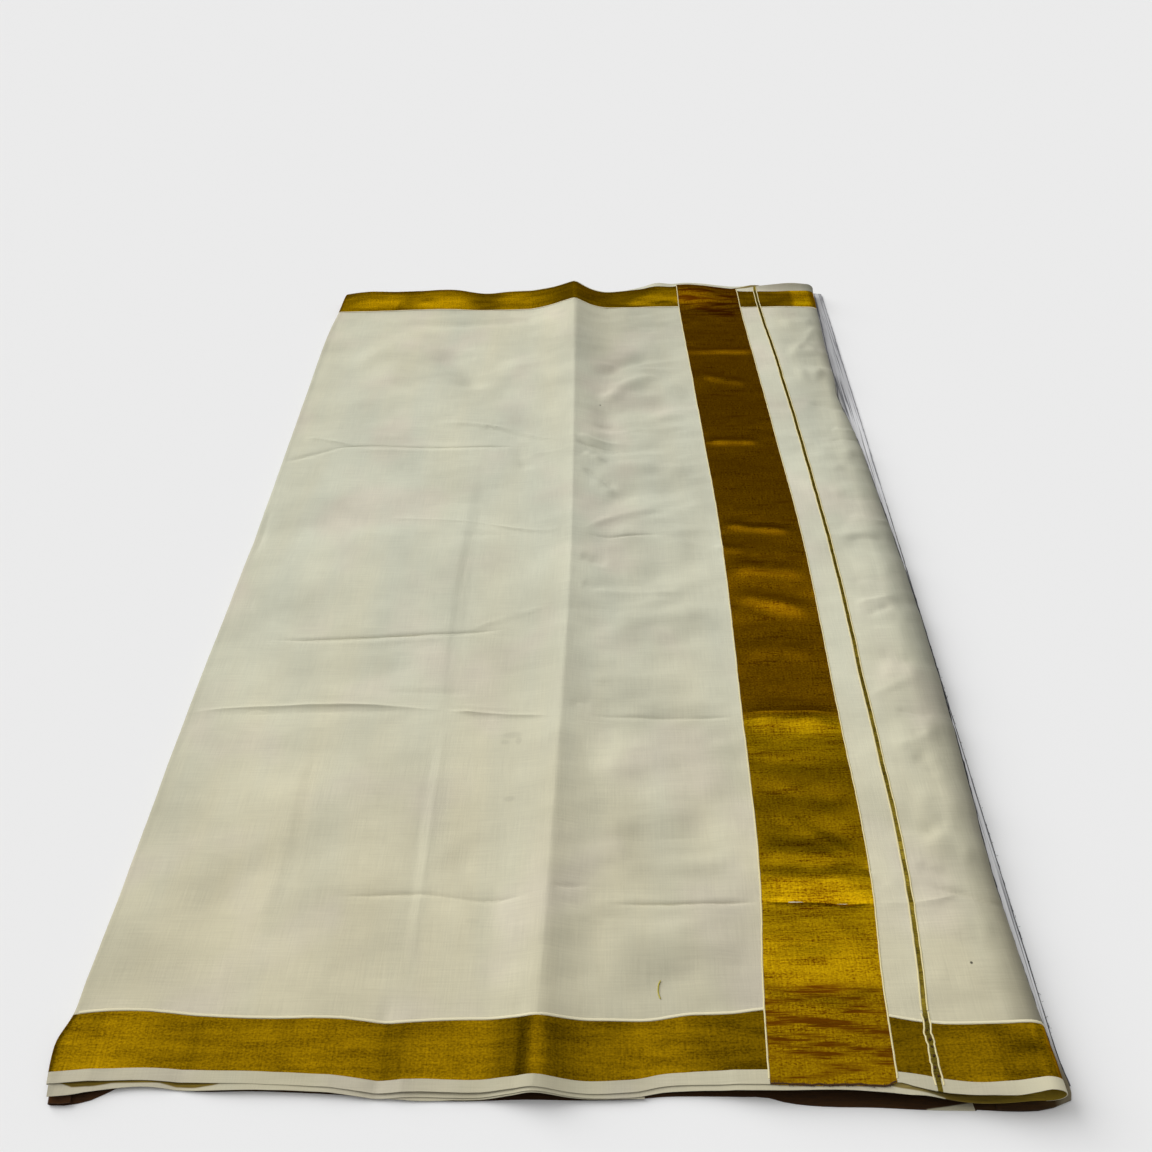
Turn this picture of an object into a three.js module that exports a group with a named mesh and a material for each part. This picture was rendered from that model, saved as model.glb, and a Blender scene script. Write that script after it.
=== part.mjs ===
// A Kerala saree, folded in eight and laid flat, with its middle crease standing up as a ridge.
//
// Millimetres. +X runs right across the fold (along the saree's length), +Y runs away along its
// woven width, +Z is up, and the stack rests on Z = 0.
//
// Every sheet is one wall laid on the same grid: "lines" run along Y and follow the weave (left fold,
// ridge, band, gold line, right fold), and "courses" run along X (selvedges, borders, field).

import * as THREE from 'three';

// ---- driving dimensions -------------------------------------------------------------------------

const WALL = 1.1; // cloth wall, thicker than the real 0.3 mm weave
const GAP = 0.3; // between neighbouring pieces
const BORDER = 41; // gold border, across its threads
const SELVEDGE = 8.4; // plain cream strip outside the border
const BAND = 84; // pallu band
const GOLD_LINE = 3.4; // thin line beside the band
const RIDGE_SHARPNESS = 1.6; // 1 is a plain tent, more is a thinner crest
const LEFT_TURN = 5; // how far the left fold bulges past its crown
const RIGHT_TURN = 9; // and the right one
const FLOOR_LAYER = WALL; // top of the lowest stretch

// ---- lines: X of each woven or folded line, at a few places along Y --------------------------------

const LEFT_FOLD = [
  { y: -580, x: -346 },
  { y: -480, x: -343.5 },
  { y: 0, x: -342.5 },
  { y: 580, x: -344 },
];
const RIDGE = [
  // the crease that stands up, with its height and how far it spreads to each side
  { y: -580, x: -5, height: 10.5, reach: 42 },
  { y: -370, x: -5, height: 11.5, reach: 48 },
  { y: 0, x: 2, height: 14, reach: 60 },
  { y: 200, x: 0, height: 16, reach: 66 },
  { y: 580, x: -5.5, height: 18.5, reach: 72 },
];
const BAND_LEFT = [
  { y: -580, x: 147.5 },
  { y: -504, x: 150.5 },
  { y: -438, x: 156 },
  { y: -230, x: 159 },
  { y: 0, x: 159.6 },
  { y: 228, x: 152 },
  { y: 420, x: 144.5 },
  { y: 580, x: 138 },
];
const LINE_MIDDLE = [
  { y: -580, x: 258.7 },
  { y: -534, x: 258.9 },
  { y: -490, x: 263.4 },
  { y: -445, x: 267 },
  { y: -400, x: 269.3 },
  { y: -300, x: 270.7 },
  { y: -200, x: 270.7 },
  { y: -100, x: 271.7 },
  { y: 0, x: 270.9 },
  { y: 100, x: 268.6 },
  { y: 200, x: 265.8 },
  { y: 300, x: 262 },
  { y: 400, x: 257.9 },
  { y: 480, x: 253.2 },
  { y: 540, x: 249.8 },
  { y: 580, x: 248.5 },
];
const RIGHT_FOLD = [
  { y: -580, x: 341.5 },
  { y: -496, x: 338 },
  { y: -410, x: 336 },
  { y: -296, x: 340 },
  { y: -91, x: 342 },
  { y: 74, x: 337.5 },
  { y: 192, x: 333 },
  { y: 292, x: 325.5 },
  { y: 378, x: 326.6 },
  { y: 545, x: 331.5 },
  { y: 580, x: 332 },
];

// ---- edges: Y of each sheet's selvedges, at a few places along X ----------------------------------

const TOP_EDGES = [
  { x: -346, near: -578.5, far: 582 },
  { x: -290, near: -573, far: 581 },
  { x: -200, near: -575.5, far: 584 },
  { x: -110, near: -581, far: 580.5 },
  { x: -30, near: -580.5, far: 582 },
  { x: 45, near: -580, far: 580 },
  { x: 75, near: -576, far: 578.5 },
  { x: 125, near: -574, far: 576.5 },
  { x: 236, near: -576.5, far: 571.5 },
  { x: 270, near: -582, far: 571 },
  { x: 345, near: -582.5, far: 570.5 },
];
const SECOND_EDGES = [
  { x: -346, near: -584, far: 580 },
  { x: -250, near: -579, far: 581 },
  { x: -110, near: -583.5, far: 583 },
  { x: 0, near: -580.5, far: 583 },
  { x: 120, near: -582, far: 588 },
  { x: 240, near: -581, far: 584 },
  { x: 300, near: -580, far: 583 },
  { x: 335, near: -576, far: 581 },
];
const THIRD_EDGES = [
  { x: -346, near: -586.5, far: 577 },
  { x: -230, near: -579.5, far: 580 },
  { x: -60, near: -584, far: 579 },
  { x: 64, near: -582, far: 582 },
];
const BOTTOM_EDGES = [
  { x: -346, near: -587.5, far: 578 },
  { x: -240, near: -577, far: 580 },
  { x: -60, near: -582, far: 578 },
  { x: 100, near: -576, far: 581 },
  { x: 200, near: -580, far: 585 },
  { x: 260, near: -588.5, far: 588.5 },
  { x: 300, near: -581, far: 587 },
  { x: 348, near: -578, far: 578 },
];
const BOTTOM_FOLD = 346; // X of the bottom stretch's pressed fold, straight as a rule
const THIRD_END = 64; // X of the cut end of the third stretch

// ---- heights of the top stretch's upper face, at a few places along X ------------------------------

const HEIGHTS = [
  { x: -346, near: 9.6, far: 8.4 },
  { x: -200, near: 9.2, far: 10.4 },
  { x: -100, near: 9.6, far: 9.4 },
  { x: 0, near: 10.2, far: 10.4 },
  { x: 100, near: 11.4, far: 12.4 },
  { x: 160, near: 13.2, far: 15.4 },
  { x: 245, near: 15.6, far: 13.8 },
  { x: 340, near: 18.6, far: 12.6 },
];
const LIFTS = [
  // how far each lower sheet's near edge hangs away from the one above it
  { x: -346, second: 0.3, third: 0.5 },
  { x: -310, second: 1.3, third: 0.3 },
  { x: -255, second: 0.2, third: 0.9 },
  { x: -200, second: 1.1, third: 0.3 },
  { x: -90, second: 0.2, third: 0.8 },
  { x: 0, second: 0.8, third: 0.4 },
  { x: 110, second: 0.4, third: 0.4 },
  { x: 200, second: 1.2, third: 0.4 },
  { x: 345, second: 0.4, third: 0.4 },
];
const LIFT_REACH = 60; // the sheets close up again this far in from the edge

const CORE_INSET = 14; // the hidden folds stop this far inside the bottom stretch's selvedges
const LIP = 3; // how far each hidden layer stands out at the core's edges
const LIPS = 3;
const CORE_ROWS = 14;
const CORE_SLACK = 0.4; // more room under the third stretch, whose rows fall elsewhere

// ---- reading the tables -------------------------------------------------------------------------

// Value of column `name` at `at`, on a smooth curve through the rows, held beyond the ends.
function read(rows, key, name, at) {
  const last = rows.length - 1;
  if (at <= rows[0][key]) return rows[0][name];
  if (at >= rows[last][key]) return rows[last][name];
  const i = rows.findIndex((row) => row[key] > at) - 1;
  const [a, b] = [rows[i], rows[i + 1]];
  const [before, after] = [rows[Math.max(i - 1, 0)], rows[Math.min(i + 2, last)]];
  const span = b[key] - a[key];
  const slopeA = (b[name] - before[name]) / (b[key] - before[key]);
  const slopeB = (after[name] - a[name]) / (after[key] - a[key]);
  const t = (at - a[key]) / span;
  return (
    a[name] * (1 + 2 * t) * (1 - t) ** 2 +
    slopeA * span * t * (1 - t) ** 2 +
    b[name] * t * t * (3 - 2 * t) +
    slopeB * span * t * t * (t - 1)
  );
}

const lerp = THREE.MathUtils.lerp;
const clamp = THREE.MathUtils.clamp;

const leftFold = (y) => read(LEFT_FOLD, 'y', 'x', y);
const ridge = (y) => read(RIDGE, 'y', 'x', y);
const bandLeft = (y) => read(BAND_LEFT, 'y', 'x', y);
const bandRight = (y) => bandLeft(y) + BAND;
const lineLeft = (y) => read(LINE_MIDDLE, 'y', 'x', y) - GOLD_LINE / 2;
const lineRight = (y) => lineLeft(y) + GOLD_LINE;
const rightFold = (y) => read(RIGHT_FOLD, 'y', 'x', y);
const leftCrown = (y) => leftFold(y) + LEFT_TURN;
const rightCrown = (y) => rightFold(y) - RIGHT_TURN;

// Upper face of the top stretch.
function topHeight(x, y) {
  const base = lerp(
    read(HEIGHTS, 'x', 'near', x),
    read(HEIGHTS, 'x', 'far', x),
    clamp((y + 575) / 1150, 0, 1),
  );
  const away = Math.min(Math.abs(x - ridge(y)) / read(RIDGE, 'y', 'reach', y), 1);
  return base + read(RIDGE, 'y', 'height', y) * (1 - away) ** RIDGE_SHARPNESS;
}

// How much of the near-edge lift is left at y.
const nearEdge = (y) => clamp(1 - (y + 580) / LIFT_REACH, 0, 1) ** 2;

const secondHeight = (x, y) =>
  topHeight(x, y) - WALL - GAP - nearEdge(y) * read(LIFTS, 'x', 'second', x);
const thirdHeight = (x, y) =>
  secondHeight(x, y) - WALL - GAP - nearEdge(y) * read(LIFTS, 'x', 'third', x);
const coreHeight = (x, y) =>
  topHeight(x, y) - 3 * (WALL + GAP) - CORE_SLACK - nearEdge(y) * 2.4;

// ---- the grid --------------------------------------------------------------------------------------

// Stations between two lines: X at fractions of the way from one to the other.
function between(from, to, fractions) {
  return fractions.map((f) => ({ x: (y) => lerp(from(y), to(y), f) }));
}

// Stations down a fold: a half ellipse seen along Y, from the crown to the underside.
function turning(crown, reach, steps) {
  const list = [];
  for (let i = 1; i <= steps; i += 1) {
    list.push({ x: crown, reach, angle: (Math.PI * i) / steps });
  }
  return list;
}

const even = (n) => Array.from({ length: n + 1 }, (_, i) => i / n);
const shifted = (station, by) => ({ ...station, x: (y) => station.x(y) + by });
const ridgeLeft = (y) => ridge(y) - read(RIDGE, 'y', 'reach', y);
const ridgeRight = (y) => ridge(y) + read(RIDGE, 'y', 'reach', y);

const TENT = [0.3, 0.55, 0.75, 0.9, 1]; // fractions from the tent's foot to the ridge
const LEFT_SIDE = [
  ...turning(leftCrown, -LEFT_TURN, 5).reverse(),
  ...between(leftCrown, ridgeLeft, even(3)),
  ...between(ridgeLeft, ridge, TENT),
];
const RIGHT_TENT = TENT.slice(0, -1).map((f) => 1 - f).reverse();
const TO_BAND = [
  ...between(ridge, ridgeRight, [...RIGHT_TENT, 1]),
  ...between(ridgeRight, bandLeft, [1]),
];

// A course is a list of rows: the Y at each X, as a fraction between two edges.
const farGoldIn = (e) => e.far - SELVEDGE - BORDER;
const nearGoldIn = (e) => e.near + SELVEDGE + BORDER;
const COURSES = {
  near_selvedge: { from: (e) => e.near, to: (e) => e.near + SELVEDGE, steps: 1 },
  near_border: { from: (e) => e.near + SELVEDGE, to: nearGoldIn, steps: 2 },
  field: { from: nearGoldIn, to: farGoldIn, steps: 14 },
  far_border: { from: farGoldIn, to: (e) => e.far - SELVEDGE, steps: 2 },
  far_selvedge: { from: (e) => e.far - SELVEDGE, to: (e) => e.far, steps: 1 },
};

function edgesAt(rows, x) {
  return { near: read(rows, 'x', 'near', x), far: read(rows, 'x', 'far', x) };
}

// The point where a station meets a row. Lines bend with Y and rows with X, so it closes in on both.
function crossing(station, rowY, edgeRows) {
  let y = 0;
  let x = station.x(y);
  for (let i = 0; i < 3; i += 1) {
    y = rowY(edgesAt(edgeRows, x));
    x = station.x(y);
  }
  return { x, y };
}

// Outer and inner points of the top wall at a crossing: flat over the stack, curled at a fold.
function topWall(station, rowY) {
  const { x, y } = crossing(station, rowY, TOP_EDGES);
  const top = topHeight(x, y);
  if (station.angle === undefined) {
    return [new THREE.Vector3(x, y, top), new THREE.Vector3(x, y, top - WALL)];
  }
  const middle = (top + FLOOR_LAYER + GAP) / 2;
  return [0, WALL].map((inset) => {
    const rise = top - middle - inset;
    const reach = station.reach - Math.sign(station.reach) * inset;
    return new THREE.Vector3(
      x + reach * Math.sin(station.angle),
      y,
      middle + rise * Math.cos(station.angle),
    );
  });
}

// Outer and inner points of a flat sheet whose upper face is height(x, y).
function flatWall(height, edgeRows) {
  return (station, rowY) => {
    const { x, y } = crossing(station, rowY, edgeRows);
    const top = height(x, y);
    return [new THREE.Vector3(x, y, top), new THREE.Vector3(x, y, top - WALL)];
  };
}

// ---- solids ------------------------------------------------------------------------------------------

const group = new THREE.Group();
group.name = 'kerala_saree';

const MATERIALS = {
  cream_cotton: new THREE.MeshStandardMaterial({ color: '#e6e0c8', roughness: 0.9 }),
  gold_zari: new THREE.MeshStandardMaterial({ color: '#b8860b', roughness: 0.4, metalness: 0.6 }),
};
for (const [name, material] of Object.entries(MATERIALS)) material.name = name;

function add(name, slot, geometry) {
  const mesh = new THREE.Mesh(geometry, MATERIALS[slot]);
  mesh.name = name;
  group.add(mesh);
}

// Closed solid through rings of points: every ring has the same count, and both ends are capped.
function loft(rings, caps) {
  const count = rings[0].length;
  const position = rings.flat().flatMap((p) => [p.x, p.y, p.z]);
  const index = [];
  for (let i = 0; i + 1 < rings.length; i += 1) {
    for (let j = 0; j < count; j += 1) {
      const k = (j + 1) % count;
      const [a, b] = [i * count + j, i * count + k];
      const [c, d] = [a + count, b + count];
      index.push(a, c, d, a, d, b);
    }
  }
  const end = (rings.length - 1) * count;
  for (const [a, b, c] of caps) {
    index.push(a, b, c);
    index.push(end + a, end + c, end + b);
  }
  const geometry = new THREE.BufferGeometry();
  geometry.setAttribute('position', new THREE.Float32BufferAttribute(position, 3));
  geometry.setIndex(index);
  return geometry;
}

// A wall: each ring goes along the outer face and back along the inner one.
function wall(stations, rows, pointAt) {
  const rings = stations.map((station) => {
    const pairs = rows.map((row) => pointAt(station, row));
    return [...pairs.map((p) => p[0]), ...pairs.map((p) => p[1]).reverse()];
  });
  const last = 2 * rows.length - 1;
  const caps = [];
  for (let j = 0; j + 1 < rows.length; j += 1) {
    caps.push([j, j + 1, last - j], [j + 1, last - j - 1, last - j]);
  }
  return loft(rings, caps);
}

// Rows of one or more neighbouring courses, trimmed by half a gap at both outer ends.
function rowsOf(names) {
  const rows = [];
  names.forEach((name, n) => {
    const { from, to, steps } = COURSES[name];
    for (let i = n === 0 ? 0 : 1; i <= steps; i += 1) {
      rows.push({ from, to, part: i / steps, trim: 0 });
    }
  });
  rows[0].trim = names[0] === 'near_selvedge' ? 0 : GAP / 2;
  rows.at(-1).trim = names.at(-1) === 'far_selvedge' ? 0 : -GAP / 2;
  return rows.map((r) => (e) => lerp(r.from(e), r.to(e), r.part) + r.trim);
}

const ALL_COURSES = Object.keys(COURSES);

// ---- the top stretch -----------------------------------------------------------------------------------

const toGap = (stations, start, end) =>
  stations.map((s, i) => {
    if (i === 0) return shifted(s, start);
    return i === stations.length - 1 ? shifted(s, end) : s;
  });

const BLOCKS = {
  main: toGap([...LEFT_SIDE, ...TO_BAND], 0, -GAP / 2),
  gap: toGap(between(bandRight, lineLeft, even(1)), GAP / 2, -GAP / 2),
  turn: toGap(
    [...between(lineRight, rightCrown, even(3)), ...turning(rightCrown, RIGHT_TURN, 6)],
    GAP / 2,
    0,
  ),
};

for (const [block, stations] of Object.entries(BLOCKS)) {
  for (const course of ALL_COURSES) {
    const slot = course.endsWith('border') ? 'gold_zari' : 'cream_cotton';
    add(`${course}_${block}`, slot, wall(stations, rowsOf([course]), topWall));
  }
}

const bandStations = toGap(between(bandLeft, bandRight, even(3)), GAP / 2, -GAP / 2);
add('pallu_band', 'gold_zari', wall(bandStations, rowsOf(ALL_COURSES), topWall));

const lineStations = toGap(between(lineLeft, lineRight, even(1)), GAP / 2, -GAP / 2);
add('gold_line', 'gold_zari', wall(lineStations, rowsOf(ALL_COURSES), topWall));

// ---- the stretches under it -----------------------------------------------------------------------------

const LOWER_START = (y) => leftCrown(y) + 0.5; // clear of the left turn
const LOWER_END = (y) => rightCrown(y) - 1;
const lowerLeft = [
  ...between(LOWER_START, ridgeLeft, even(3)),
  ...between(ridgeLeft, ridge, TENT),
];
const lowerRows = rowsOf(ALL_COURSES);

add(
  'second_stretch',
  'cream_cotton',
  wall(
    [
      ...lowerLeft,
      ...TO_BAND.slice(0, -1),
      ...between(ridgeRight, bandLeft, [1]),
      ...between(bandLeft, bandRight, [1 / 3, 2 / 3, 1]),
      ...between(bandRight, lineLeft, [1]),
      ...between(lineRight, rightCrown, [1 / 3, 2 / 3]),
      { x: LOWER_END },
    ],
    lowerRows,
    flatWall(secondHeight, SECOND_EDGES),
  ),
);

add(
  'third_stretch',
  'cream_cotton',
  wall(
    [
      ...lowerLeft,
      ...between(ridge, ridgeRight, RIGHT_TENT),
      { x: (y) => Math.min(ridgeRight(y), THIRD_END - 4) },
      { x: () => THIRD_END },
    ],
    lowerRows,
    flatWall(thirdHeight, THIRD_EDGES),
  ),
);

const bottomLeft = (y) => leftFold(y) + 1;
const bottomRight = () => BOTTOM_FOLD;
add(
  'bottom_stretch',
  'cream_cotton',
  wall(
    between(bottomLeft, bottomRight, even(16)),
    even(8).map((f) => (e) => lerp(e.near, e.far, f)),
    flatWall(() => FLOOR_LAYER, BOTTOM_EDGES),
  ),
);

// ---- the hidden folds: one rounded solid, layered where its edges look out ---------------------------------

const CORE_FLOOR = FLOOR_LAYER + GAP;
const coreNear = (e) => e.near + CORE_INSET;
const coreFar = (e) => e.far - CORE_INSET;

// One section of the core in the YZ plane. `swell` shrinks it towards its middle for a rounded side.
function coreRing(station, swell) {
  const point = (rowY, share) => {
    const { x, y } = crossing(station, rowY, BOTTOM_EDGES);
    const top = coreHeight(x, y);
    const middle = (top + CORE_FLOOR) / 2;
    const half = ((top - CORE_FLOOR) / 2) * swell;
    return new THREE.Vector3(x, y, middle + half * share);
  };
  const along = even(CORE_ROWS);
  const top = along.map((f) => point((e) => lerp(coreNear(e), coreFar(e), f), 1));
  const bottom = along.map((f) => point((e) => lerp(coreFar(e), coreNear(e), f), -1));
  const layers = (edge, out, sign) => {
    const list = [];
    for (let i = 1; i < 2 * LIPS; i += 1) {
      const stand = i % 2 === 1 ? LIP : 0;
      list.push(point((e) => edge(e) + out * stand, sign * (1 - i / LIPS)));
    }
    return list;
  };
  return [...top, ...layers(coreFar, 1, 1), ...bottom, ...layers(coreNear, -1, -1)];
}

// Both ends shrink to a blunt edge, so the solid is rounded where the folds turn.
const besideCrown = (crown, by, swell) => ({ station: { x: (y) => crown(y) + by }, swell });
const CORE_STATIONS = [
  besideCrown(leftCrown, 0.4, 0.5),
  besideCrown(leftCrown, 3, 1),
  ...[
    ...between(leftCrown, ridgeLeft, even(3).slice(1)),
    ...between(ridgeLeft, ridge, TENT),
    ...TO_BAND,
    ...between(bandLeft, bandRight, [1 / 3, 2 / 3, 1]),
    ...between(bandRight, lineLeft, [1]),
    ...between(lineRight, rightCrown, [1 / 3, 2 / 3]),
  ].map((station) => ({ station, swell: 1 })),
  besideCrown(rightCrown, -3, 1),
  besideCrown(rightCrown, -0.6, 0.55),
  besideCrown(rightCrown, 3, 0.3),
];

// Triangles of an end of the core: the body between its two edges, then each layer's lip.
function coreCaps() {
  const top = even(CORE_ROWS).map((_, j) => j);
  const farSide = Array.from({ length: 2 * LIPS + 1 }, (_, i) => CORE_ROWS + i);
  const bottom = top.map((j) => farSide.at(-1) + CORE_ROWS - j); // bottom[j] lies under top[j]
  const nearSide = Array.from({ length: 2 * LIPS }, (_, i) => bottom[0] + i);
  nearSide.push(0);
  const caps = [];
  const fan = (anchor, list) => {
    for (let i = 0; i + 1 < list.length; i += 1) caps.push([anchor, list[i], list[i + 1]]);
  };
  for (let j = 1; j + 2 < top.length; j += 1) {
    fan(top[j], [top[j + 1], bottom[j + 1], bottom[j]]);
  }
  const everySecond = (list) => list.filter((_, i) => i % 2 === 0);
  fan(top.at(-2), [...everySecond(farSide), bottom.at(-2)]);
  fan(top[1], [bottom[1], ...everySecond(nearSide)]);
  for (const side of [farSide, nearSide]) {
    for (let i = 0; i + 2 < side.length; i += 2) caps.push([side[i], side[i + 1], side[i + 2]]);
  }
  return caps;
}

add(
  'inner_folds',
  'cream_cotton',
  loft(CORE_STATIONS.map(({ station, swell }) => coreRing(station, swell)), coreCaps()),
);

export default group;
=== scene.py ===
# %% [markdown]
# # A Kerala saree, folded
#
# A kasavu saree is one long piece of cream cotton with gold thread woven into its two long edges
# and across its showpiece end. Here it lies folded in eight. Only the top stretch and the edges of
# the stretches under it show, so those are modelled as thin cloth, and the folds inside the stack
# share one solid. All lengths in the tables are in millimetres, and meshes are made in metres.

# %% Set up
import math

import bpy
import numpy as np
from mathutils import Matrix, Vector


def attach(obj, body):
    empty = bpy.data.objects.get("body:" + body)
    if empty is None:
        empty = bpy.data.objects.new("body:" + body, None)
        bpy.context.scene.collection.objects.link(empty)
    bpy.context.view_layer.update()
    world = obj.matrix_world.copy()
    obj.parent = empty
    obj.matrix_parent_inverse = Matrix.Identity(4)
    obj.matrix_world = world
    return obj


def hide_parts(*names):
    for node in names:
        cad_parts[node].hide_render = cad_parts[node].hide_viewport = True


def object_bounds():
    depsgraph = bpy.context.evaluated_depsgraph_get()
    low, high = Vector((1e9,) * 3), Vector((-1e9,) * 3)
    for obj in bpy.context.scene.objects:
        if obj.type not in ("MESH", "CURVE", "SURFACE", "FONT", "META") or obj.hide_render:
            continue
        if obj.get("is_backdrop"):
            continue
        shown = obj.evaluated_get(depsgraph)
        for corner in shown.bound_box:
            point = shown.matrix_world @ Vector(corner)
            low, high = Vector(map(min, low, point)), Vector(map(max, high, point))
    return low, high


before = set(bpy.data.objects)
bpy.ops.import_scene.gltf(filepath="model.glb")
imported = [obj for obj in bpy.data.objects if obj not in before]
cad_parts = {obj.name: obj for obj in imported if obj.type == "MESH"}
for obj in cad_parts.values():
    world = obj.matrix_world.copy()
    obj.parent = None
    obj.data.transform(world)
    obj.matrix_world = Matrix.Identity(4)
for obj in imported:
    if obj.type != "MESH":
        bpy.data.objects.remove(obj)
cad_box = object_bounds()
MM = 0.001
print("CAD box", cad_box)


def put(name, data):
    """A new object in the scene with its mesh, camera or light."""
    thing = bpy.data.objects.new(name, data)
    bpy.context.scene.collection.objects.link(thing)
    return thing


# %% [markdown]
# ## Camera
#
# The camera looks down on the near edge from standing height, as one looks at cloth laid on the
# floor. A lens of 36 mm on a 36 mm frame is a phone's ordinary view. The camera is turned a little
# about its own axis too, so its three directions, right, up and back, are worked out one by one.

# %% Camera
CAMERA_AT = Vector((0.0468, -0.9457, 0.7692))
DOWN, TURNED, ROLLED = (math.radians(a) for a in (40.258, -2.506, -2.12))
ahead = Vector(
    (math.sin(TURNED) * math.cos(DOWN), math.cos(TURNED) * math.cos(DOWN), -math.sin(DOWN))
)
level = Vector((math.cos(TURNED), -math.sin(TURNED), 0))
upward = level.cross(ahead)
right = level * math.cos(ROLLED) + upward * math.sin(ROLLED)
up = upward * math.cos(ROLLED) - level * math.sin(ROLLED)
camera = put("camera", bpy.data.cameras.new("camera"))
camera.data.lens = 36
camera.data.sensor_width = 36
camera.matrix_world = Matrix.Translation(CAMERA_AT) @ Matrix((right, up, -ahead)).transposed().to_4x4()
bpy.context.scene.camera = camera
print("camera looks", tuple(round(a, 3) for a in ahead))

# %% [markdown]
# ## Shader sums in plain Python
#
# A material is a tree of nodes, and long sums are hard to read as nodes. `Amount` wraps a socket so
# that `0.5 + 2 * mask` adds the Math nodes by itself. `Nodes` adds every other kind of node in one
# way: its type, then its settings, then the values or links of its sockets.

# %% Wrapping sockets and nodes
class Amount:
    """A number that varies over a surface: a node's output with Python's arithmetic."""

    def __init__(self, nodes, socket):
        self.nodes, self.socket = nodes, socket

    def _math(self, operation, *values, clamp=False):
        settings = {"operation": operation, "use_clamp": clamp}
        return self.nodes.add("ShaderNodeMath", settings, dict(enumerate(values)))

    def __add__(self, other):
        return self._math("ADD", self, other)

    def __sub__(self, other):
        return self._math("SUBTRACT", self, other)

    def __rsub__(self, other):
        return self._math("SUBTRACT", other, self)

    def __mul__(self, other):
        return self._math("MULTIPLY", self, other)

    def __truediv__(self, other):
        return self._math("DIVIDE", self, other)

    __radd__, __rmul__ = __add__, __mul__

    def sine(self):
        return self._math("SINE", self)

    def size(self):
        return self._math("ABSOLUTE", self)

    def clamped(self):
        return self._math("ADD", self, 0.0, clamp=True)

    def step(self, start, end):
        """0 before start, 1 after end, and smooth between them."""
        settings = {"interpolation_type": "SMOOTHSTEP"}
        return self.nodes.add("ShaderNodeMapRange", settings, {"Value": self, 1: start, 2: end})


class Nodes:
    """Adds nodes to one tree."""

    def __init__(self, tree):
        self.tree = tree

    def add(self, kind, settings=None, values=None, output=0):
        node = self.tree.nodes.new(kind)
        for key, setting in (settings or {}).items():
            if key == "stops":
                ramp = node.color_ramp.elements
                while len(ramp) < len(setting):
                    ramp.new(0.5)
                for stop, (place, colour) in zip(ramp, setting):
                    stop.position, stop.color = place, (*colour, 1)
            else:
                setattr(node, key, setting)
        for key, value in (values or {}).items():
            if isinstance(value, Amount):
                self.tree.links.new(value.socket, node.inputs[key])
            else:
                node.inputs[key].default_value = value
        return Amount(self, node.outputs[output])

    def split(self, vector):
        parts = self.tree.nodes.new("ShaderNodeSeparateXYZ")
        self.tree.links.new(vector.socket, parts.inputs[0])
        return [Amount(self, parts.outputs[k]) for k in range(3)]

    def ramp(self, value, stops):
        """Grey or colour for a value from 0 to 1, by (place, grey or colour) stops."""
        stops = [(place, (v, v, v) if isinstance(v, (int, float)) else v) for place, v in stops]
        return self.add("ShaderNodeValToRGB", {"stops": stops}, {0: value})

    def scaled(self, colour, by):
        return self.add("ShaderNodeVectorMath", {"operation": "SCALE"}, {0: colour, "Scale": by})

    def blend(self, first, second, share):
        settings = {"data_type": "RGBA", "blend_type": "MIX"}
        values = {0: share}
        for key, colour in ((6, first), (7, second)):
            values[key] = colour if isinstance(colour, Amount) else (*colour, 1)
        return self.add("ShaderNodeMix", settings, values, output=2)


# %% [markdown]
# ## Light and floor
#
# Cotton scatters light and hardly cares where it comes from, but gold thread shines only where it
# mirrors something bright. So the room is a dome that is bright high up and dim lower down, which
# gives the gold both a bright and a dark part to mirror. One broad lamp stands low behind the left
# fold. It rakes over the cloth, so that every crease shows, and leaves the near edge in shade. Both
# are far away, so the floor is lit evenly.

# %% Light
DOME = [  # sine of the height above the horizon, brightness
    (0.0, 0.22),
    (0.45, 0.2),
    (0.7, 0.25),
    (0.79, 0.38),
    (0.84, 0.95),
    (1.0, 1.0),
]
DOME_STRENGTH = 1.12
LAMP_FROM = Vector((-0.75, 0.5, 0.54))
LAMP_POWER, LAMP_WIDTH = 2.82, 50  # watts a square metre, degrees
world = bpy.data.worlds.new("room")
world.use_nodes = True
sky = Nodes(world.node_tree)
toward = sky.split(sky.add("ShaderNodeTexCoord"))
background = world.node_tree.nodes["Background"]
world.node_tree.links.new(sky.ramp(toward[2], DOME).socket, background.inputs["Color"])
background.inputs["Strength"].default_value = DOME_STRENGTH
bpy.context.scene.world = world
bpy.context.scene.view_settings.view_transform = "Standard"
lamp = put("lamp", bpy.data.lights.new("lamp", "SUN"))
lamp.data.energy = LAMP_POWER
lamp.data.angle = math.radians(LAMP_WIDTH)
lamp.visible_glossy = False  # the gold would mirror it as one hot patch
lamp.rotation_euler = LAMP_FROM.to_track_quat("Z", "Y").to_euler()
print("light from", tuple(LAMP_FROM))

# %% Floor
def plain(name, colour, roughness=0.85, shine=0.5):
    """One flat colour, for the floor and for things about a millimetre thick."""
    material = bpy.data.materials.new(name)
    material.use_nodes = True
    shader = material.node_tree.nodes["Principled BSDF"]
    shader.inputs["Base Color"].default_value = (*colour, 1)
    shader.inputs["Roughness"].default_value = roughness
    shader.inputs["Specular IOR Level"].default_value = shine
    return material


FLOOR = 12  # metres from the middle to each side
floor_mesh = bpy.data.meshes.new("floor")
corners = [(-FLOOR, -FLOOR, 0), (FLOOR, -FLOOR, 0), (FLOOR, FLOOR, 0), (-FLOOR, FLOOR, 0)]
floor_mesh.from_pydata(corners, [], [(0, 1, 2, 3)])
floor_mesh.materials.append(plain("floor", (0.82, 0.82, 0.82), roughness=1, shine=0))
floor = put("floor", floor_mesh)
floor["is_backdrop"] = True
print("floor", 2 * FLOOR, "m wide")

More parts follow.
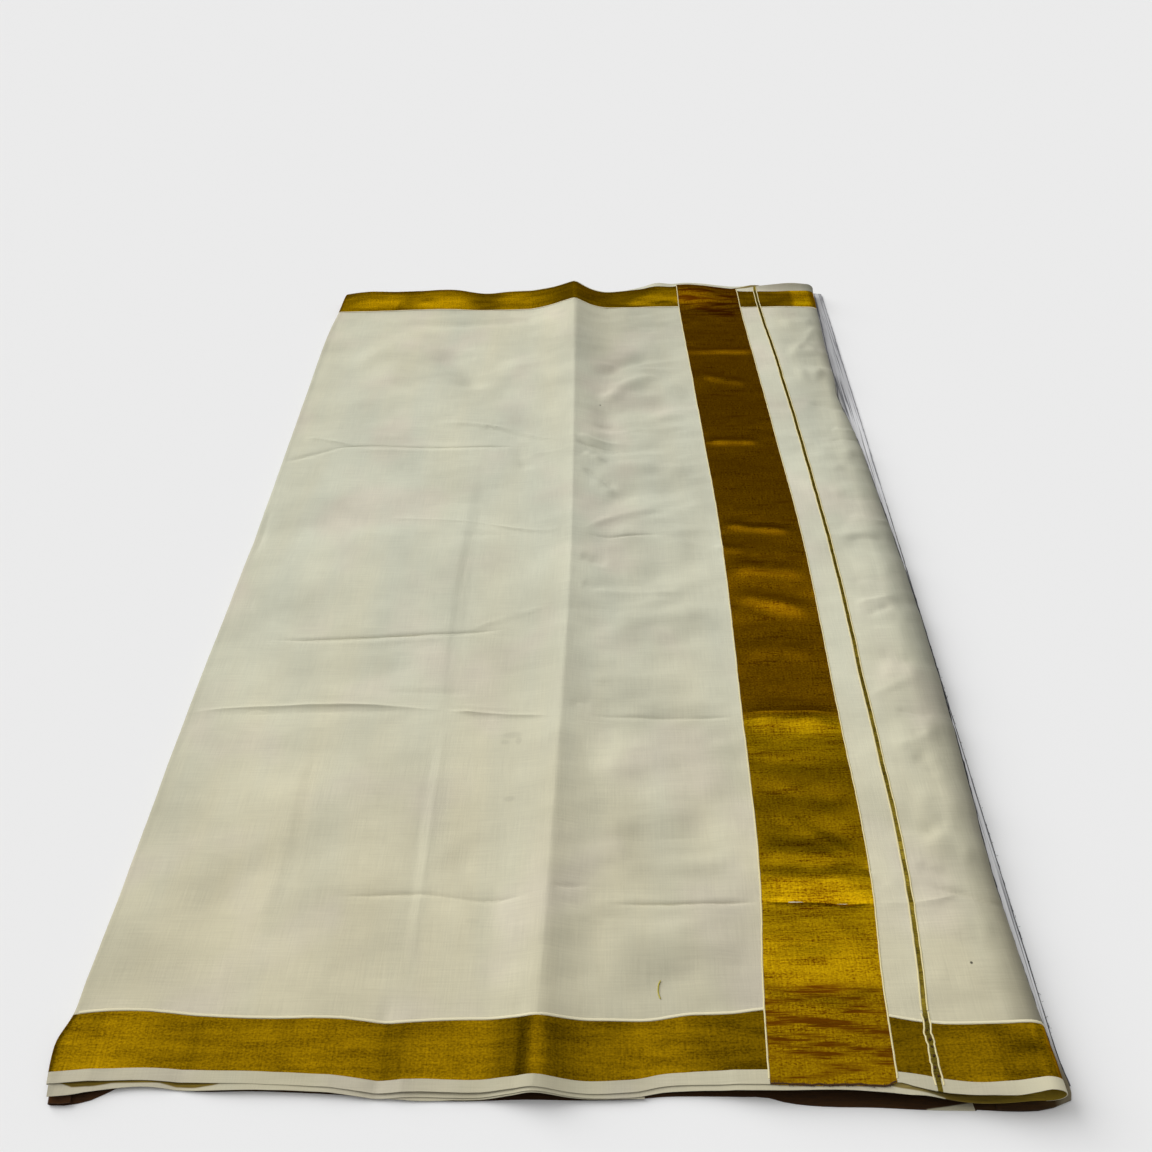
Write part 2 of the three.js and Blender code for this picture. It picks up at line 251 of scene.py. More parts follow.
# %% [markdown]
# ## Lines of the weave
#
# The cloth's own lines are the best grid to model it on. Lines that run away from the viewer
# (folds, ridge, band, gold line) are tables of x for some y. Lines that run across (selvedges and
# borders) are tables of y for some x. A smooth curve goes through each table.

# %% Reading a table
def smooth(rows):
    """The curve through (place, value) rows, held level beyond both ends."""
    place, value = np.array(rows, float).T
    slope = np.gradient(value, place)

    def read(at):
        at = np.clip(at, place[0], place[-1])
        i = np.clip(np.searchsorted(place, at, side="right") - 1, 0, len(place) - 2)
        span = place[i + 1] - place[i]
        t = (at - place[i]) / span
        level_part = (1 + 2 * t) * (1 - t) ** 2 * value[i] + t * t * (3 - 2 * t) * value[i + 1]
        slope_part = t * (1 - t) ** 2 * slope[i] + t * t * (t - 1) * slope[i + 1]
        return level_part + span * slope_part

    return read


def ease(t):
    t = np.clip(t, 0, 1)
    return t * t * (3 - 2 * t)


def mix(a, b, t):
    return a + (b - a) * t


# %% Lines that run away from the viewer
BAND = 84
GOLD_LINE = 3.4
LEFT_TURN, RIGHT_TURN = 4.5, 12.0

left_fold = smooth([
    (-592, -341), (-575, -344.5), (-562, -347), (-548, -348), (-530, -343), (-500, -342.5),
    (-200, -342.5), (-40, -340.7), (130, -341), (300, -343), (520, -342), (560, -338.5), (585, -336),
])
ridge = smooth([(-580, -10), (-530, -9), (-370, -5), (0, 2), (200, 0), (580, -5.5)])
band_left = smooth([
    (-580, 147.5), (-504, 150.5), (-438, 156), (-230, 159), (0, 159.6), (228, 152), (420, 144.5),
    (580, 138),
])
gold_line = smooth([
    (-580, 258.7), (-534, 258.9), (-490, 263.4), (-445, 267), (-400, 269.3), (-300, 270.7),
    (-200, 270.7), (-100, 271.7), (0, 270.9), (100, 268.6), (200, 265.8), (300, 262), (400, 257.9),
    (480, 253.2), (540, 249.8), (580, 248.5),
])
right_fold = smooth([
    (-580, 341.5), (-496, 338), (-410, 336), (-296, 340), (-91, 342), (74, 337.5), (192, 333),
    (262, 327), (292, 324), (320, 326), (378, 326.6), (545, 331.5), (580, 332),
])


def beside(line, by):
    return lambda at: line(at) + by


def straight(place):
    return lambda at: place + 0 * at


band_right = beside(band_left, BAND)
line_left = beside(gold_line, -GOLD_LINE / 2)
line_right = beside(gold_line, GOLD_LINE / 2)
left_crown = beside(left_fold, LEFT_TURN)
right_crown = beside(right_fold, -RIGHT_TURN)

# %% Lines that run across
SELVEDGE = 8.4
near_in = smooth([
    (-345, -529.5), (-330, -527.5), (-290, -526), (-250, -529), (-200, -531), (-150, -531), (-112, -534),
    (-85, -532.3), (-30, -532), (45, -532), (70, -532), (97, -528.5), (125, -528), (146, -525.5),
    (236, -531), (250, -534), (265, -536), (340, -536),
])
near_out = smooth([
    (-345, -570), (-309, -566), (-285, -564.6), (-240, -566.3), (-198, -567.3), (-150, -569.5),
    (-112, -572.8), (-88, -571.6), (-60, -572.4), (-30, -572), (45, -572.2), (58, -571), (75, -567.6),
    (90, -566.6), (122, -566), (142, -566.7), (236, -569), (250, -571.2), (265, -574.2), (290, -577.5),
    (310, -576.9), (320, -575.4), (330, -574), (340, -574),
])
far_in = smooth([
    (-345, 534), (-290, 531), (-182, 534), (-111, 530), (-30, 532), (72, 528), (128, 526), (240, 521),
    (340, 520),
])
far_out = smooth([
    (-345, 574), (-290, 573), (-182, 576), (-111, 572), (-30, 574), (72, 570), (128, 568), (240, 563),
    (340, 562),
])
wider_selvedge = smooth([
    (90, 0), (115, 1.2), (147, 1.8), (167, 2.8), (186, 3.3), (207, 3.0), (218, 2.8), (225, 2.1),
    (232, -1.2), (242, 0), (251, 0.8), (262, 0.6), (276, -0.2), (290, -0.4), (308, 1.1), (320, 1.0),
    (330, 0.4),
])
even_edge = beside(near_out, -SELVEDGE)
far_edge = beside(far_out, SELVEDGE)


def near_edge(x):
    """The near selvedge isn't even: it is wider under the band and narrower right of it."""
    return even_edge(x) - wider_selvedge(x)


print("near edge at the left", near_edge(-300), "far edge at the right", far_edge(300))

# %% [markdown]
# ## The shape of the top stretch
#
# Height is worked out in layers that are added up: how the stack lies (thicker at the right,
# drooping at the near edge, curled up at the far one), the old middle crease that stands up as a
# ridge, the creases, each placed one by one, and last a faint rumple. One function gives the height
# for every woven zone, so the zones meet exactly.

# %% How the stack lies
HEIGHTS = [  # x, near, far
    (-346, 9.6, 8.4),
    (-200, 9.2, 10.0),
    (-100, 9.6, 9.4),
    (0, 10.2, 10.4),
    (100, 11.4, 11.2),
    (160, 13.2, 12.4),
    (245, 15.6, 12.0),
    (340, 18.6, 12.6),
]
near_height = smooth([(x, near) for x, near, far in HEIGHTS])
far_height = smooth([(x, far) for x, near, far in HEIGHTS])
edge_height = smooth([
    (-346, 8.6), (-326, 7.6), (-300, 4.8), (-270, 3.6), (-240, 3.8), (-200, 4.8), (-110, 4.8),
    (-60, 4.6), (-30, 5.6), (0, 6), (40, 5.2), (64, 5.6), (100, 7.6), (125, 9.2), (150, 11.1),
    (200, 12.6), (228, 12.6), (245, 13.1), (262, 13.0), (300, 17), (340, 18.6),
])
far_curl = smooth([
    (-346, 6), (-304, 11), (-260, 9.5), (-230, 9), (-180, 9.5), (-137, 5), (-100, 8.5), (-60, 8),
    (-30, 5), (0, 3), (30, 3), (58, 4), (87, 9), (102, 11), (130, 10), (150, 12), (174, 10), (202, 6),
    (240, 4), (290, 3), (340, 2),
])
edge_fall = smooth([
    (-346, 5), (-200, 6), (-100, 4.5), (60, 4), (90, 3), (110, 1), (140, 2.5), (200, 1.5), (230, 0),
    (262, -6), (320, -7), (345, -3),
])
HALF_WOVEN = 575  # from the middle of the cloth to a selvedge
DROOP_REACH = 48  # how far in from the near edge the cloth has sunk
CURL_BEFORE, FALL_BEFORE = 12, 3  # how far inside the far border and selvedge each one starts


def lying(x, y):
    base = mix(near_height(x), far_height(x), np.clip((y + HALF_WOVEN) / (2 * HALF_WOVEN), 0, 1))
    base = mix(edge_height(x), base, ease((y - near_edge(x)) / DROOP_REACH))
    curled = (y - far_in(x) + CURL_BEFORE) / (far_out(x) - far_in(x) + CURL_BEFORE)
    fallen = (y - far_out(x) + FALL_BEFORE) / (SELVEDGE + FALL_BEFORE)
    return base + far_curl(x) * ease(curled) - edge_fall(x) * np.clip(fallen, 0, 1) ** 2


# %% The ridge, with its height and reach along y
ridge_height = smooth([(-580, 10.5), (-440, 8.5), (-200, 8), (0, 8.5), (200, 10), (400, 12.8), (580, 18.5)])
ridge_left = smooth([(-580, 34), (-370, 44), (0, 60), (200, 66), (580, 64)])
ridge_right = smooth([(-580, 34), (-370, 42), (0, 56), (200, 60), (580, 46)])
crest_round = smooth([(-580, 9), (-440, 3.5), (-300, 2), (400, 2), (580, 4.5)])
CREST_SHARE = 0.6  # how much of the rounding is taken off again, so that the crest stays high
HOLLOW_LEFT, HOLLOW_RIGHT = 1.6, 1.9  # 1 is a straight flank


def crest(x, y):
    away = x - ridge(y)
    reach = np.where(away < 0, ridge_left(y), ridge_right(y))
    rounding = crest_round(y)
    eased = np.sqrt(away**2 + rounding**2) - CREST_SHARE * rounding
    share = np.clip(1 - eased / reach, 0, 1)
    return ridge_height(y) * share ** np.where(away < 0, HOLLOW_LEFT, HOLLOW_RIGHT)


# %% [markdown]
# Old folds stay in pressed cotton as thin grooves and ridges, seldom straight and never even. Each
# one is a short list of places that it runs through, its height (minus for a groove) and half its
# width. Broad, soft swells are made the same way with a rounder section.

# %% Creases across the cloth, from the far end to the near one
FOLDS = [  # places, height, half width
    # far part
    ([(-310, 176), (-275, 190), (-240, 191), (-200, 189), (-150, 188), (-90, 189), (-55, 185)], -2.3, 1.5),
    ([(-270, 183), (-240, 182), (-200, 181), (-150, 180), (-95, 182)], 1.2, 4.5),
    ([(-325, 213), (-300, 206), (-283, 200), (-262, 193)], 1.7, 2.2),
    ([(-345, 160), (-325, 167), (-310, 174), (-275, 189)], -1.9, 2.2),
    ([(-175, 241), (-130, 237), (-105, 232), (-75, 222), (-60, 213), (-30, 198), (0, 187)], 2, 2.2),
    ([(-120, 228), (-90, 222), (-70, 212), (-45, 199)], -0.7, 3),
    ([(-72, 190), (-64, 176), (-57, 150), (-55, 132)], -1.6, 5),
    ([(-55, 171), (-30, 168), (-8, 170)], 0.7, 3),
    ([(-5, 402), (-20, 390), (-60, 373), (-110, 369)], 0.9, 5),
    ([(18, 378), (32, 374), (62, 364), (100, 357), (125, 355)], 1.5, 2.2),
    ([(58, 364), (78, 369), (98, 377)], 1.0, 2.0),
    ([(2, 189), (10, 184), (25, 178), (40, 175), (56, 173)], -4.2, 2.8),
    ([(10, 134), (20, 127), (33, 117), (52, 98)], -3.2, 2.8),
    ([(4, 200), (30, 192), (66, 190)], 2.4, 4.5),
    ([(12, 166), (24, 158), (40, 148)], 2.8, 4.0),
    ([(20, 112), (34, 100), (50, 84)], 2.0, 3.6),
    ([(16, 224), (48, 224), (75, 213), (108, 205)], -1.8, 3.2),
    ([(10, 205), (60, 215), (140, 214)], 0.8, 6),
    # middle
    ([(-200, 51), (-150, 48), (-110, 43), (-85, 38)], 0.8, 1.5),
    ([(-100, 41), (-82, 36), (-60, 30), (-38, 25), (-20, 22), (-2, 33)], 1.5, 1.5),
    ([(-170, 21), (-110, 20), (-52, 21)], -1.0, 1.3),
    ([(14, 14), (36, 10), (92, 11), (108, 8)], -1.7, 1.5),
    ([(12, 18), (22, 27), (48, 45), (104, 62)], 2.0, 3.6),
    ([(12, -22), (24, -28), (42, -30)], -2.4, 5.0),
    ([(14, -68), (26, -71), (38, -71)], -1.5, 4.0),
    ([(-345, -90), (-330, -91), (-312, -92)], -0.8, 3),
    ([(-300, -140), (-280, -141), (-240, -141), (-200, -139), (-160, -136), (-110, -134), (-80, -132),
      (-48, -127)], -2.4, 1.4),
    ([(-240, -147), (-200, -146), (-150, -143), (-100, -140)], 0.9, 4),
    ([(-100, -133), (-60, -113), (-10, -97)], 1.0, 2.2),
    ([(8, -77), (70, -79), (136, -76)], 1.6, 3.6),
    ([(10, -199), (50, -199), (92, -197)], 1.1, 2.0),
    ([(-175, -209), (-140, -211), (-100, -213), (-82, -215)], -1.2, 3),
    ([(-60, -187), (-30, -186), (-4, -185)], -0.8, 3),
    ([(55, -195), (90, -198), (115, -201)], -0.7, 4),
    # near part
    ([(-346, -236), (-320, -233), (-280, -230), (-220, -228), (-170, -229), (-130, -233),
      (-100, -236)], 2.2, 1.7),
    ([(-110, -235), (-80, -239), (-60, -241), (-30, -245), (-5, -248)], 2, 1.8),
    ([(-330, -240), (-280, -237), (-220, -235), (-160, -236), (-110, -242)], -0.8, 3.5),
    ([(-110, -228), (-80, -231), (-50, -235), (-5, -241)], 0.7, 3),
    ([(5, -232), (15, -229), (28, -226)], -0.8, 3),
    ([(15, -243), (60, -245), (110, -247), (158, -248)], -2.0, 2.4),
    ([(-180, -431), (-145, -429), (-110, -427), (-60, -433), (-8, -430)], -1.6, 2.2),
    ([(34, -438.5), (80, -438), (120, -437.5), (157, -438)], -2.4, 1.6),
    ([(-6, -425), (10, -423), (28, -420)], -1.3, 1.8),
    ([(6, -442), (30, -451), (54, -459)], 1.5, 1.6),
    ([(155, -438), (185, -437), (215, -439), (243, -440)], -1.7, 1.8),
    ([(240, -440), (258, -440), (275, -440), (300, -439)], 1.3, 4),
    ([(272, -440), (290, -437), (304, -433)], 0.9, 1.4),
    ([(155, -243), (200, -243), (246, -244)], 0.9, 2.2),
    ([(168, -350), (200, -371), (225, -391), (242, -398)], 0.9, 3),
    ([(160, -372), (185, -379), (218, -376)], -0.8, 3),
    ([(165, -318), (200, -330), (240, -338)], 0.6, 3),
    ([(20, -300), (60, -309), (100, -320)], 0.8, 6),
    ([(40, -380), (70, -411)], 0.7, 5),
]

# %% Long creases away from the viewer, and short ones by the right fold and on the near border
FOLDS += [
    ([(-334, 72), (-333, 30), (-334, -18)], -1.3, 4),
    ([(-222, -250), (-221, -360), (-222, -485)], 0.6, 6),
    ([(-215, -270), (-213, -370), (-214, -470)], -0.5, 5),
    ([(-104, 60), (-108, -60), (-109, -150), (-108, -238)], -0.9, 7),
    ([(-105, -238), (-105, -370), (-105, -505)], 0.8, 4),
    ([(-112, -250), (-113, -380), (-112, -500)], -0.7, 5),
    ([(-258, 531), (-258, 541), (-258, 552)], -1.2, 3),
    ([(280, 388), (298, 418), (326, 478)], 2.4, 6),
    ([(284, 268), (302, 264), (326, 253)], -2.2, 5),
    ([(288, 368), (304, 362), (322, 352)], -1.8, 5),
    ([(306, 212), (318, 206), (332, 200)], 2.2, 4),
    ([(296, 186), (312, 190), (330, 186)], -1.8, 4),
    ([(286, 128), (306, 132), (332, 121)], 1.8, 4),
    ([(290, 78), (312, 70), (334, 72)], -1.6, 5),
    ([(296, 42), (316, 32), (336, 24)], 2.0, 5),
    ([(284, -2), (308, 2), (334, -4)], -1.8, 4),
    ([(282, -34), (304, -28), (330, -36)], 1.5, 4),
    ([(278, -70), (300, -64), (326, -74)], -1.5, 4),
    ([(280, -103), (300, -97), (324, -90)], 2.4, 5),
    ([(288, -118), (302, -112), (318, -104)], -2.2, 4),
    ([(286, -131), (306, -129), (326, -127)], -1.2, 1.8),
    ([(290, -170), (306, -176), (326, -184)], -1.9, 3.4),
    ([(272, -225), (286, -219), (302, -211), (324, -202)], 2.0, 3.0),
    ([(294, -241), (308, -246), (324, -251)], -2.2, 4),
    ([(280, -286), (300, -281), (324, -266)], 2.0, 4.5),
    ([(298, -292), (308, -303), (316, -318)], -1.9, 5),
    ([(300, -279), (309, -288), (316, -302), (318, -316)], 0.9, 1.2),
    ([(280, -345), (304, -347), (326, -344)], -0.8, 2.6),
    ([(284, -380), (298, -371), (312, -362)], -1.8, 4),
    ([(288, -391), (302, -381), (316, -368)], 1.8, 4),
    ([(276, -407), (288, -412), (306, -419)], -1.2, 2.4),
    ([(272, -399), (284, -404), (300, -410)], 1.0, 2.2),
    ([(282, -423), (296, -429), (310, -434), (330, -446)], -2.6, 2.0),
    ([(286, -445), (304, -455), (326, -468)], 1.6, 4),
    ([(276, -461), (298, -472), (328, -487)], -1.8, 4.5),
    ([(274, -499), (298, -505), (326, -518)], -1.6, 4),
    ([(234, -404), (244, -414), (254, -426)], -1.2, 2.0),
    # across the near border
    ([(-318, -600), (-316, -560), (-318, -515)], 0.6, 6),
    ([(-255, -600), (-254, -560), (-258, -520)], -1.0, 6),
    ([(-190, -600), (-190, -565), (-192, -528)], -0.6, 5),
    ([(-150, -600), (-152, -570), (-150, -535)], 0.5, 5),
    ([(-117, -600), (-118, -560), (-117, -505)], -1.5, 6),
    ([(-100, -600), (-101, -560), (-101, -515)], 0.9, 5),
    ([(-66, -600), (-65, -560), (-66, -525)], 0.5, 5),
    ([(-24, -600), (-23, -560), (-22, -505)], -1.0, 5),
    ([(95, -600), (92, -565), (86, -520)], -0.7, 7),
    ([(128, -600), (124, -560), (116, -500)], 1.0, 9),
    ([(305, -600), (300, -565), (297, -525)], 0.7, 7),
]
SWELLS = [  # places, height, half width
    ([(-200, 432), (-150, 375), (-120, 300)], -4.7, 20),
    ([(-250, 492), (-150, 492), (-50, 494)], -2.8, 11),
    ([(-300, 420), (-250, 380), (-230, 310)], 4.0, 26),
    ([(-90, 400), (-60, 330), (-40, 260)], 3.4, 22),
    ([(-330, 130), (-250, 110), (-160, 130)], -2.0, 26),
    ([(-300, 20), (-220, 10), (-140, 0)], 1.8, 24),
    ([(22, 280), (42, 292), (58, 315), (80, 330), (112, 338)], 4.6, 11),
    ([(20, 330), (60, 372), (110, 395)], -3.7, 14),
    ([(15, 240), (60, 262), (130, 280)], -3.7, 16),
    ([(35, 330), (40, 240), (42, 140)], -4.0, 16),
    ([(30, 150), (80, 140), (140, 120)], 3.7, 14),
    ([(20, 60), (70, 90), (140, 95)], -3.4, 15),
    ([(30, 20), (80, 10), (140, -5)], 3.1, 16),
    ([(25, -60), (80, -50), (145, -30)], -3.1, 18),
    ([(25, -130), (90, -118), (150, -128)], 3.4, 18),
    ([(20, -300), (80, -290), (150, -310)], 3.7, 24),
    ([(40, -360), (90, -375), (145, -360)], -3.4, 20),
    ([(30, -480), (90, -470), (140, -485)], 2.8, 20),
    ([(-330, 300), (-200, 300), (-80, 310)], 3.4, 40),
    ([(-330, -60), (-200, -50), (-60, -40)], 3.1, 38),
    ([(-300, -330), (-180, -330), (-60, -340)], 2.8, 34),
    ([(-280, -180), (-200, -190), (-130, -175)], -2.5, 18),
    ([(-290, -440), (-220, -400), (-160, -380)], -3.1, 22),
    ([(-90, -380), (-60, -420), (-30, -470)], -2.8, 16),
    # across the band, each with its near face turned to the light
    ([(150, 400), (190, 401), (232, 397)], 2.0, 5),
    ([(150, 346), (180, 330), (225, 316)], 1.6, 7),
    ([(150, 189), (190, 188), (225, 187)], 1.7, 6),
    ([(158, 31), (190, 24), (240, 14)], 2.0, 6),
    ([(148, -9), (166, -11), (186, -14)], 1.5, 4),
    ([(156, -44), (200, -45), (244, -53)], 1.9, 9),
    ([(160, -82), (200, -95), (244, -114)], 2.6, 11),
    ([(158, -163), (200, -163), (244, -166)], 0.6, 9),
    ([(156, -249), (200, -251), (246, -256)], 2.1, 11),
    ([(158, -300), (200, -303), (244, -300)], -1.0, 10),
    ([(158, -328), (200, -334), (244, -345)], -1.3, 11),
    ([(158, -360), (195, -369), (242, -385)], -1.3, 10),
    ([(155, -393), (190, -395), (228, -398)], 1.5, 7),
    ([(154, -417), (200, -418), (242, -418)], 1.7, 9),
    ([(152, -492), (200, -482), (240, -468)], 0.9, 14),
    ([(150, -505), (200, -512), (238, -500)], -1.0, 9),
    # puffs beside the right fold
    ([(272, 470), (300, 476), (325, 470)], 2.7, 14),
    ([(272, 400), (300, 395), (322, 402)], 3.2, 14),
    ([(275, 335), (300, 340), (318, 332)], 4.2, 13),
    ([(278, 150), (305, 160), (330, 152)], 2.5, 15),
    ([(282, 85), (310, 92), (332, 84)], 2.2, 14),
    ([(285, 20), (312, 12), (336, 22)], 2.7, 15),
    ([(286, -48), (312, -40), (338, -50)], 2.3, 14),
    ([(288, -120), (315, -112), (338, -124)], 2.5, 15),
    ([(286, -190), (312, -198), (338, -188)], 2.1, 14),
    ([(284, -270), (310, -262), (336, -274)], 2.3, 15),
    ([(282, -345), (310, -352), (334, -342)], 2.2, 14),
    ([(280, -395), (308, -390), (332, -398)], 2.6, 12),
]
print(len(FOLDS), "creases and", len(SWELLS), "swells")

# %% The height that one crease adds
FOLD_SAMPLES = 24
FADE = 0.28  # share of a crease's length over which it fades at each end
UNEVEN = 0.3  # how much its height comes and goes on the way


def polyline(places):
    """More points on the smooth curve through a few places."""
    places = np.array(places, float)
    step = np.concatenate([[0], np.cumsum(np.hypot(*np.diff(places, axis=0).T))])
    at = np.linspace(0, step[-1], FOLD_SAMPLES)
    return np.stack([smooth(list(zip(step, places[:, k])))(at) for k in (0, 1)], axis=1)


def crease(x, y, places, height, width, soft):
    """Height that one crease adds at each point; a soft one has a rounder section."""
    line = polyline(places)
    reach = 3 * width if soft else 6 * width
    low, high = line.min(axis=0) - reach, line.max(axis=0) + reach
    near = (x > low[0]) & (x < high[0]) & (y > low[1]) & (y < high[1])
    added = np.zeros_like(x)
    if not near.any():
        return added
    point = np.stack([x[near], y[near]], axis=1)
    best = np.full(len(point), np.inf)
    along = np.zeros(len(point))
    for k, (a, b) in enumerate(zip(line, line[1:])):
        span = b - a
        t = np.clip(((point - a) @ span) / (span @ span), 0, 1)
        distance = np.hypot(*(point - a - t[:, None] * span).T)
        closer = distance < best
        best[closer] = distance[closer]
        along[closer] = (k + t[closer]) / (len(line) - 1)
    fade = ease(along / FADE) * ease((1 - along) / FADE)
    uneven = 1 + UNEVEN * np.sin(9 * along + places[0][0]) * np.sin(4 * along + places[0][1])
    profile = np.exp(-((best / width) ** 2)) if soft else np.exp(0.3 - np.hypot(best / width, 0.3))
    added[near] = height * fade * uneven * profile
    return added


# %% Rumples, and the whole height
LATTICE = 63  # cells of random heights each way


def rumple(x, y, across, away, seed):
    """Gentle random waves, about `across` by `away` long and between -1 and 1 high."""
    lattice = np.random.default_rng(seed).uniform(-1, 1, (LATTICE + 1, LATTICE + 1))
    u, v = x / across + LATTICE / 2, y / away + LATTICE / 2
    i, j = np.floor(u).astype(int) % LATTICE, np.floor(v).astype(int) % LATTICE
    s, t = ease(u - np.floor(u)), ease(v - np.floor(v))
    near_row = mix(lattice[i, j], lattice[i + 1, j], s)
    far_row = mix(lattice[i, j + 1], lattice[i + 1, j + 1], s)
    return mix(near_row, far_row, t)


crumpled = smooth([
    (-346, 0.2), (-30, 0.2), (12, 1), (150, 1), (165, 0.2), (240, 0.2), (262, 0.9), (290, 1.5),
    (340, 1.5),
])

RUMPLES = [  # across, away, seed, height everywhere, height added where it is crumpled
    (70, 45, 3, 1.0, 0),
    (34, 17, 5, 0.25, 0.35),
    (15, 8, 8, 0.17, 0),
    (26, 12, 12, 0, 0.5),
]


def top_height(x, y):
    """Upper face of the top stretch, in millimetres."""
    z = lying(x, y) + crest(x, y)
    for table, soft in ((FOLDS, False), (SWELLS, True)):
        for places, height, width in table:
            z = z + crease(x, y, places, height, width, soft)
    for across, away, seed, even, extra in RUMPLES:
        z = z + (even + extra * crumpled(x)) * rumple(x, y, across, away, seed)
    return z


# %% [markdown]
# ## Sheets of cloth
#
# A sheet could be a plane with a Solidify modifier, but its hidden side would then cost as many
# faces as the side that shows. So one function builds a closed thin wall by hand from a grid of
# points: every point above, fewer below on the wide fields, and a rim that joins the two.

# %% A grid of points where lines and rows cross
THICK = 0.5
WEAVE = "weave"  # name of the UV map: metres along the cloth's length and width


def between(from_line, to_line, size, bunch=0.0):
    """Lines or rows from one to just before another, `size` apart; bunched at both if asked."""
    count = max(2, round((to_line(0.0) - from_line(0.0)) / size))
    shares = np.arange(count) / count
    shares = shares - bunch * np.sin(2 * math.pi * shares) / (2 * math.pi)
    return [lambda at, s=s: mix(from_line(at), to_line(at), s) for s in shares]


def grid(lines, rows):
    """x and y of each crossing; lines bend with y and rows with x, so it closes in on both."""
    y = np.zeros((len(lines), len(rows)))
    for _ in range(4):
        x = np.stack([line(y[i]) for i, line in enumerate(lines)])
        y = np.stack([row(x[:, j]) for j, row in enumerate(rows)], axis=1)
    return x, y


# %% A closed thin wall through two grids of points
SHARP = math.radians(50)  # a steeper bend than this is drawn as an edge


def quads(index, flip=False):
    """Faces of a grid of point numbers."""
    a, b, c, d = index[:-1, :-1], index[1:, :-1], index[1:, 1:], index[:-1, 1:]
    order = (a, d, c, b) if flip else (a, b, c, d)
    return np.stack([k.ravel() for k in order], axis=1).tolist()


def rim(chain, under, picks, flip):
    """Faces that join one side of the grid above to the coarser one below."""
    sides = []
    for k, (start, end) in enumerate(zip(picks, picks[1:])):
        side = [*chain[start : end + 1], under[k + 1], under[k]]
        sides.append([int(i) for i in (side[::-1] if flip else side)])
    return sides


def woven_piece(name, points, faces, weave):
    """An object from points in millimetres; weave is the UV of each point."""
    mesh = bpy.data.meshes.new(name)
    mesh.from_pydata((points * MM).tolist(), [], faces)
    corner = np.empty(len(mesh.loops), int)
    mesh.loops.foreach_get("vertex_index", corner)
    mesh.uv_layers.new(name=WEAVE).data.foreach_set("uv", weave[corner].astype(np.float32).ravel())
    mesh.shade_smooth()
    mesh.set_sharp_from_angle(angle=SHARP)
    return put(name, mesh)


def shell(name, outer, inner, coarse, weave):
    """Outer and inner are [line, row, xyz] in millimetres; weave is the UV of each outer point."""
    lines, rows = outer.shape[:2]
    some_lines = sorted({*range(0, lines, coarse), lines - 1})
    some_rows = sorted({*range(0, rows, coarse), rows - 1})
    if coarse > 1:  # the hidden side stays under the lowest point around it
        reach = coarse // 2 + 1
        ringed = np.pad(inner[:, :, 2], reach, mode="edge")
        window = range(2 * reach + 1)
        low = np.minimum.reduce([ringed[i : i + lines, reach:-reach] for i in window])
        ringed = np.pad(low, reach, mode="edge")
        low = np.minimum.reduce([ringed[reach:-reach, j : j + rows] for j in window])
        inner = np.concatenate([inner[:, :, :2], low[:, :, None]], axis=2)
    picked = np.ix_(some_lines, some_rows)
    points = np.concatenate([outer.reshape(-1, 3), inner[picked].reshape(-1, 3)])
    woven = np.concatenate([weave.reshape(-1, 2), weave[picked].reshape(-1, 2)])
    above = np.arange(lines * rows).reshape(lines, rows)
    below = lines * rows + np.arange(len(some_lines) * len(some_rows)).reshape(len(some_lines), -1)
    faces = [
        *quads(above),
        *quads(below, flip=True),
        *rim(above[:, 0], below[:, 0], some_lines, True),
        *rim(above[:, -1], below[:, -1], some_lines, False),
        *rim(above[0], below[0], some_rows, False),
        *rim(above[-1], below[-1], some_rows, True),
    ]
    return woven_piece(name, points, faces, woven)


def weave_of(outer):
    """UV in metres: cloth length run from the first line, and the woven width."""
    run = np.hypot(np.diff(outer[:, :, 0], axis=0), np.diff(outer[:, :, 2], axis=0))
    along = np.concatenate([np.zeros((1, outer.shape[1])), np.cumsum(run, axis=0)])
    along += outer[0, :, 0]
    return np.stack([along * MM, outer[:, :, 1] * MM], axis=2)


# %% [markdown]
# ## The woven zones of the top stretch
#
# The zones are cut from one grid. Its lines bunch up at the ridge and at the old fold beside it, and
# its rows follow the creases that run right across, so that a narrow crease has points to bend on.

# %% Lines of the top stretch, from its left fold to its right one
def round_fold(crown, start, end, count):
    """Lines round a fold, each with its angle; 0 is on top of the fold and pi is under it."""
    return [(crown, angle) for angle in np.linspace(start, end, count)]


def level_lines(*groups, angle=0.0):
    return [(line, angle) for group in groups for line in group]


old_fold = straight(-107)
CELL = 3.1  # about how far apart the lines and rows are
FINE_CELL = 2.9  # beside the ridge
MAIN = round_fold(left_crown, -math.pi, 0, 9)[:-1] + level_lines(
    between(left_crown, old_fold, CELL, 0.35),
    between(old_fold, ridge, FINE_CELL, 0.55),
    between(ridge, band_left, FINE_CELL, 0.55),
    [band_left],
)
BAND_LINES = level_lines(between(band_left, band_right, CELL), [band_right])
GAP_LINES = level_lines(between(band_right, line_left, CELL), [line_left])
LINE_LINES = level_lines(between(line_left, line_right, 0.9), [line_right])
TURN = level_lines(between(line_right, right_crown, CELL)) + round_fold(right_crown, 0, math.pi, 15)

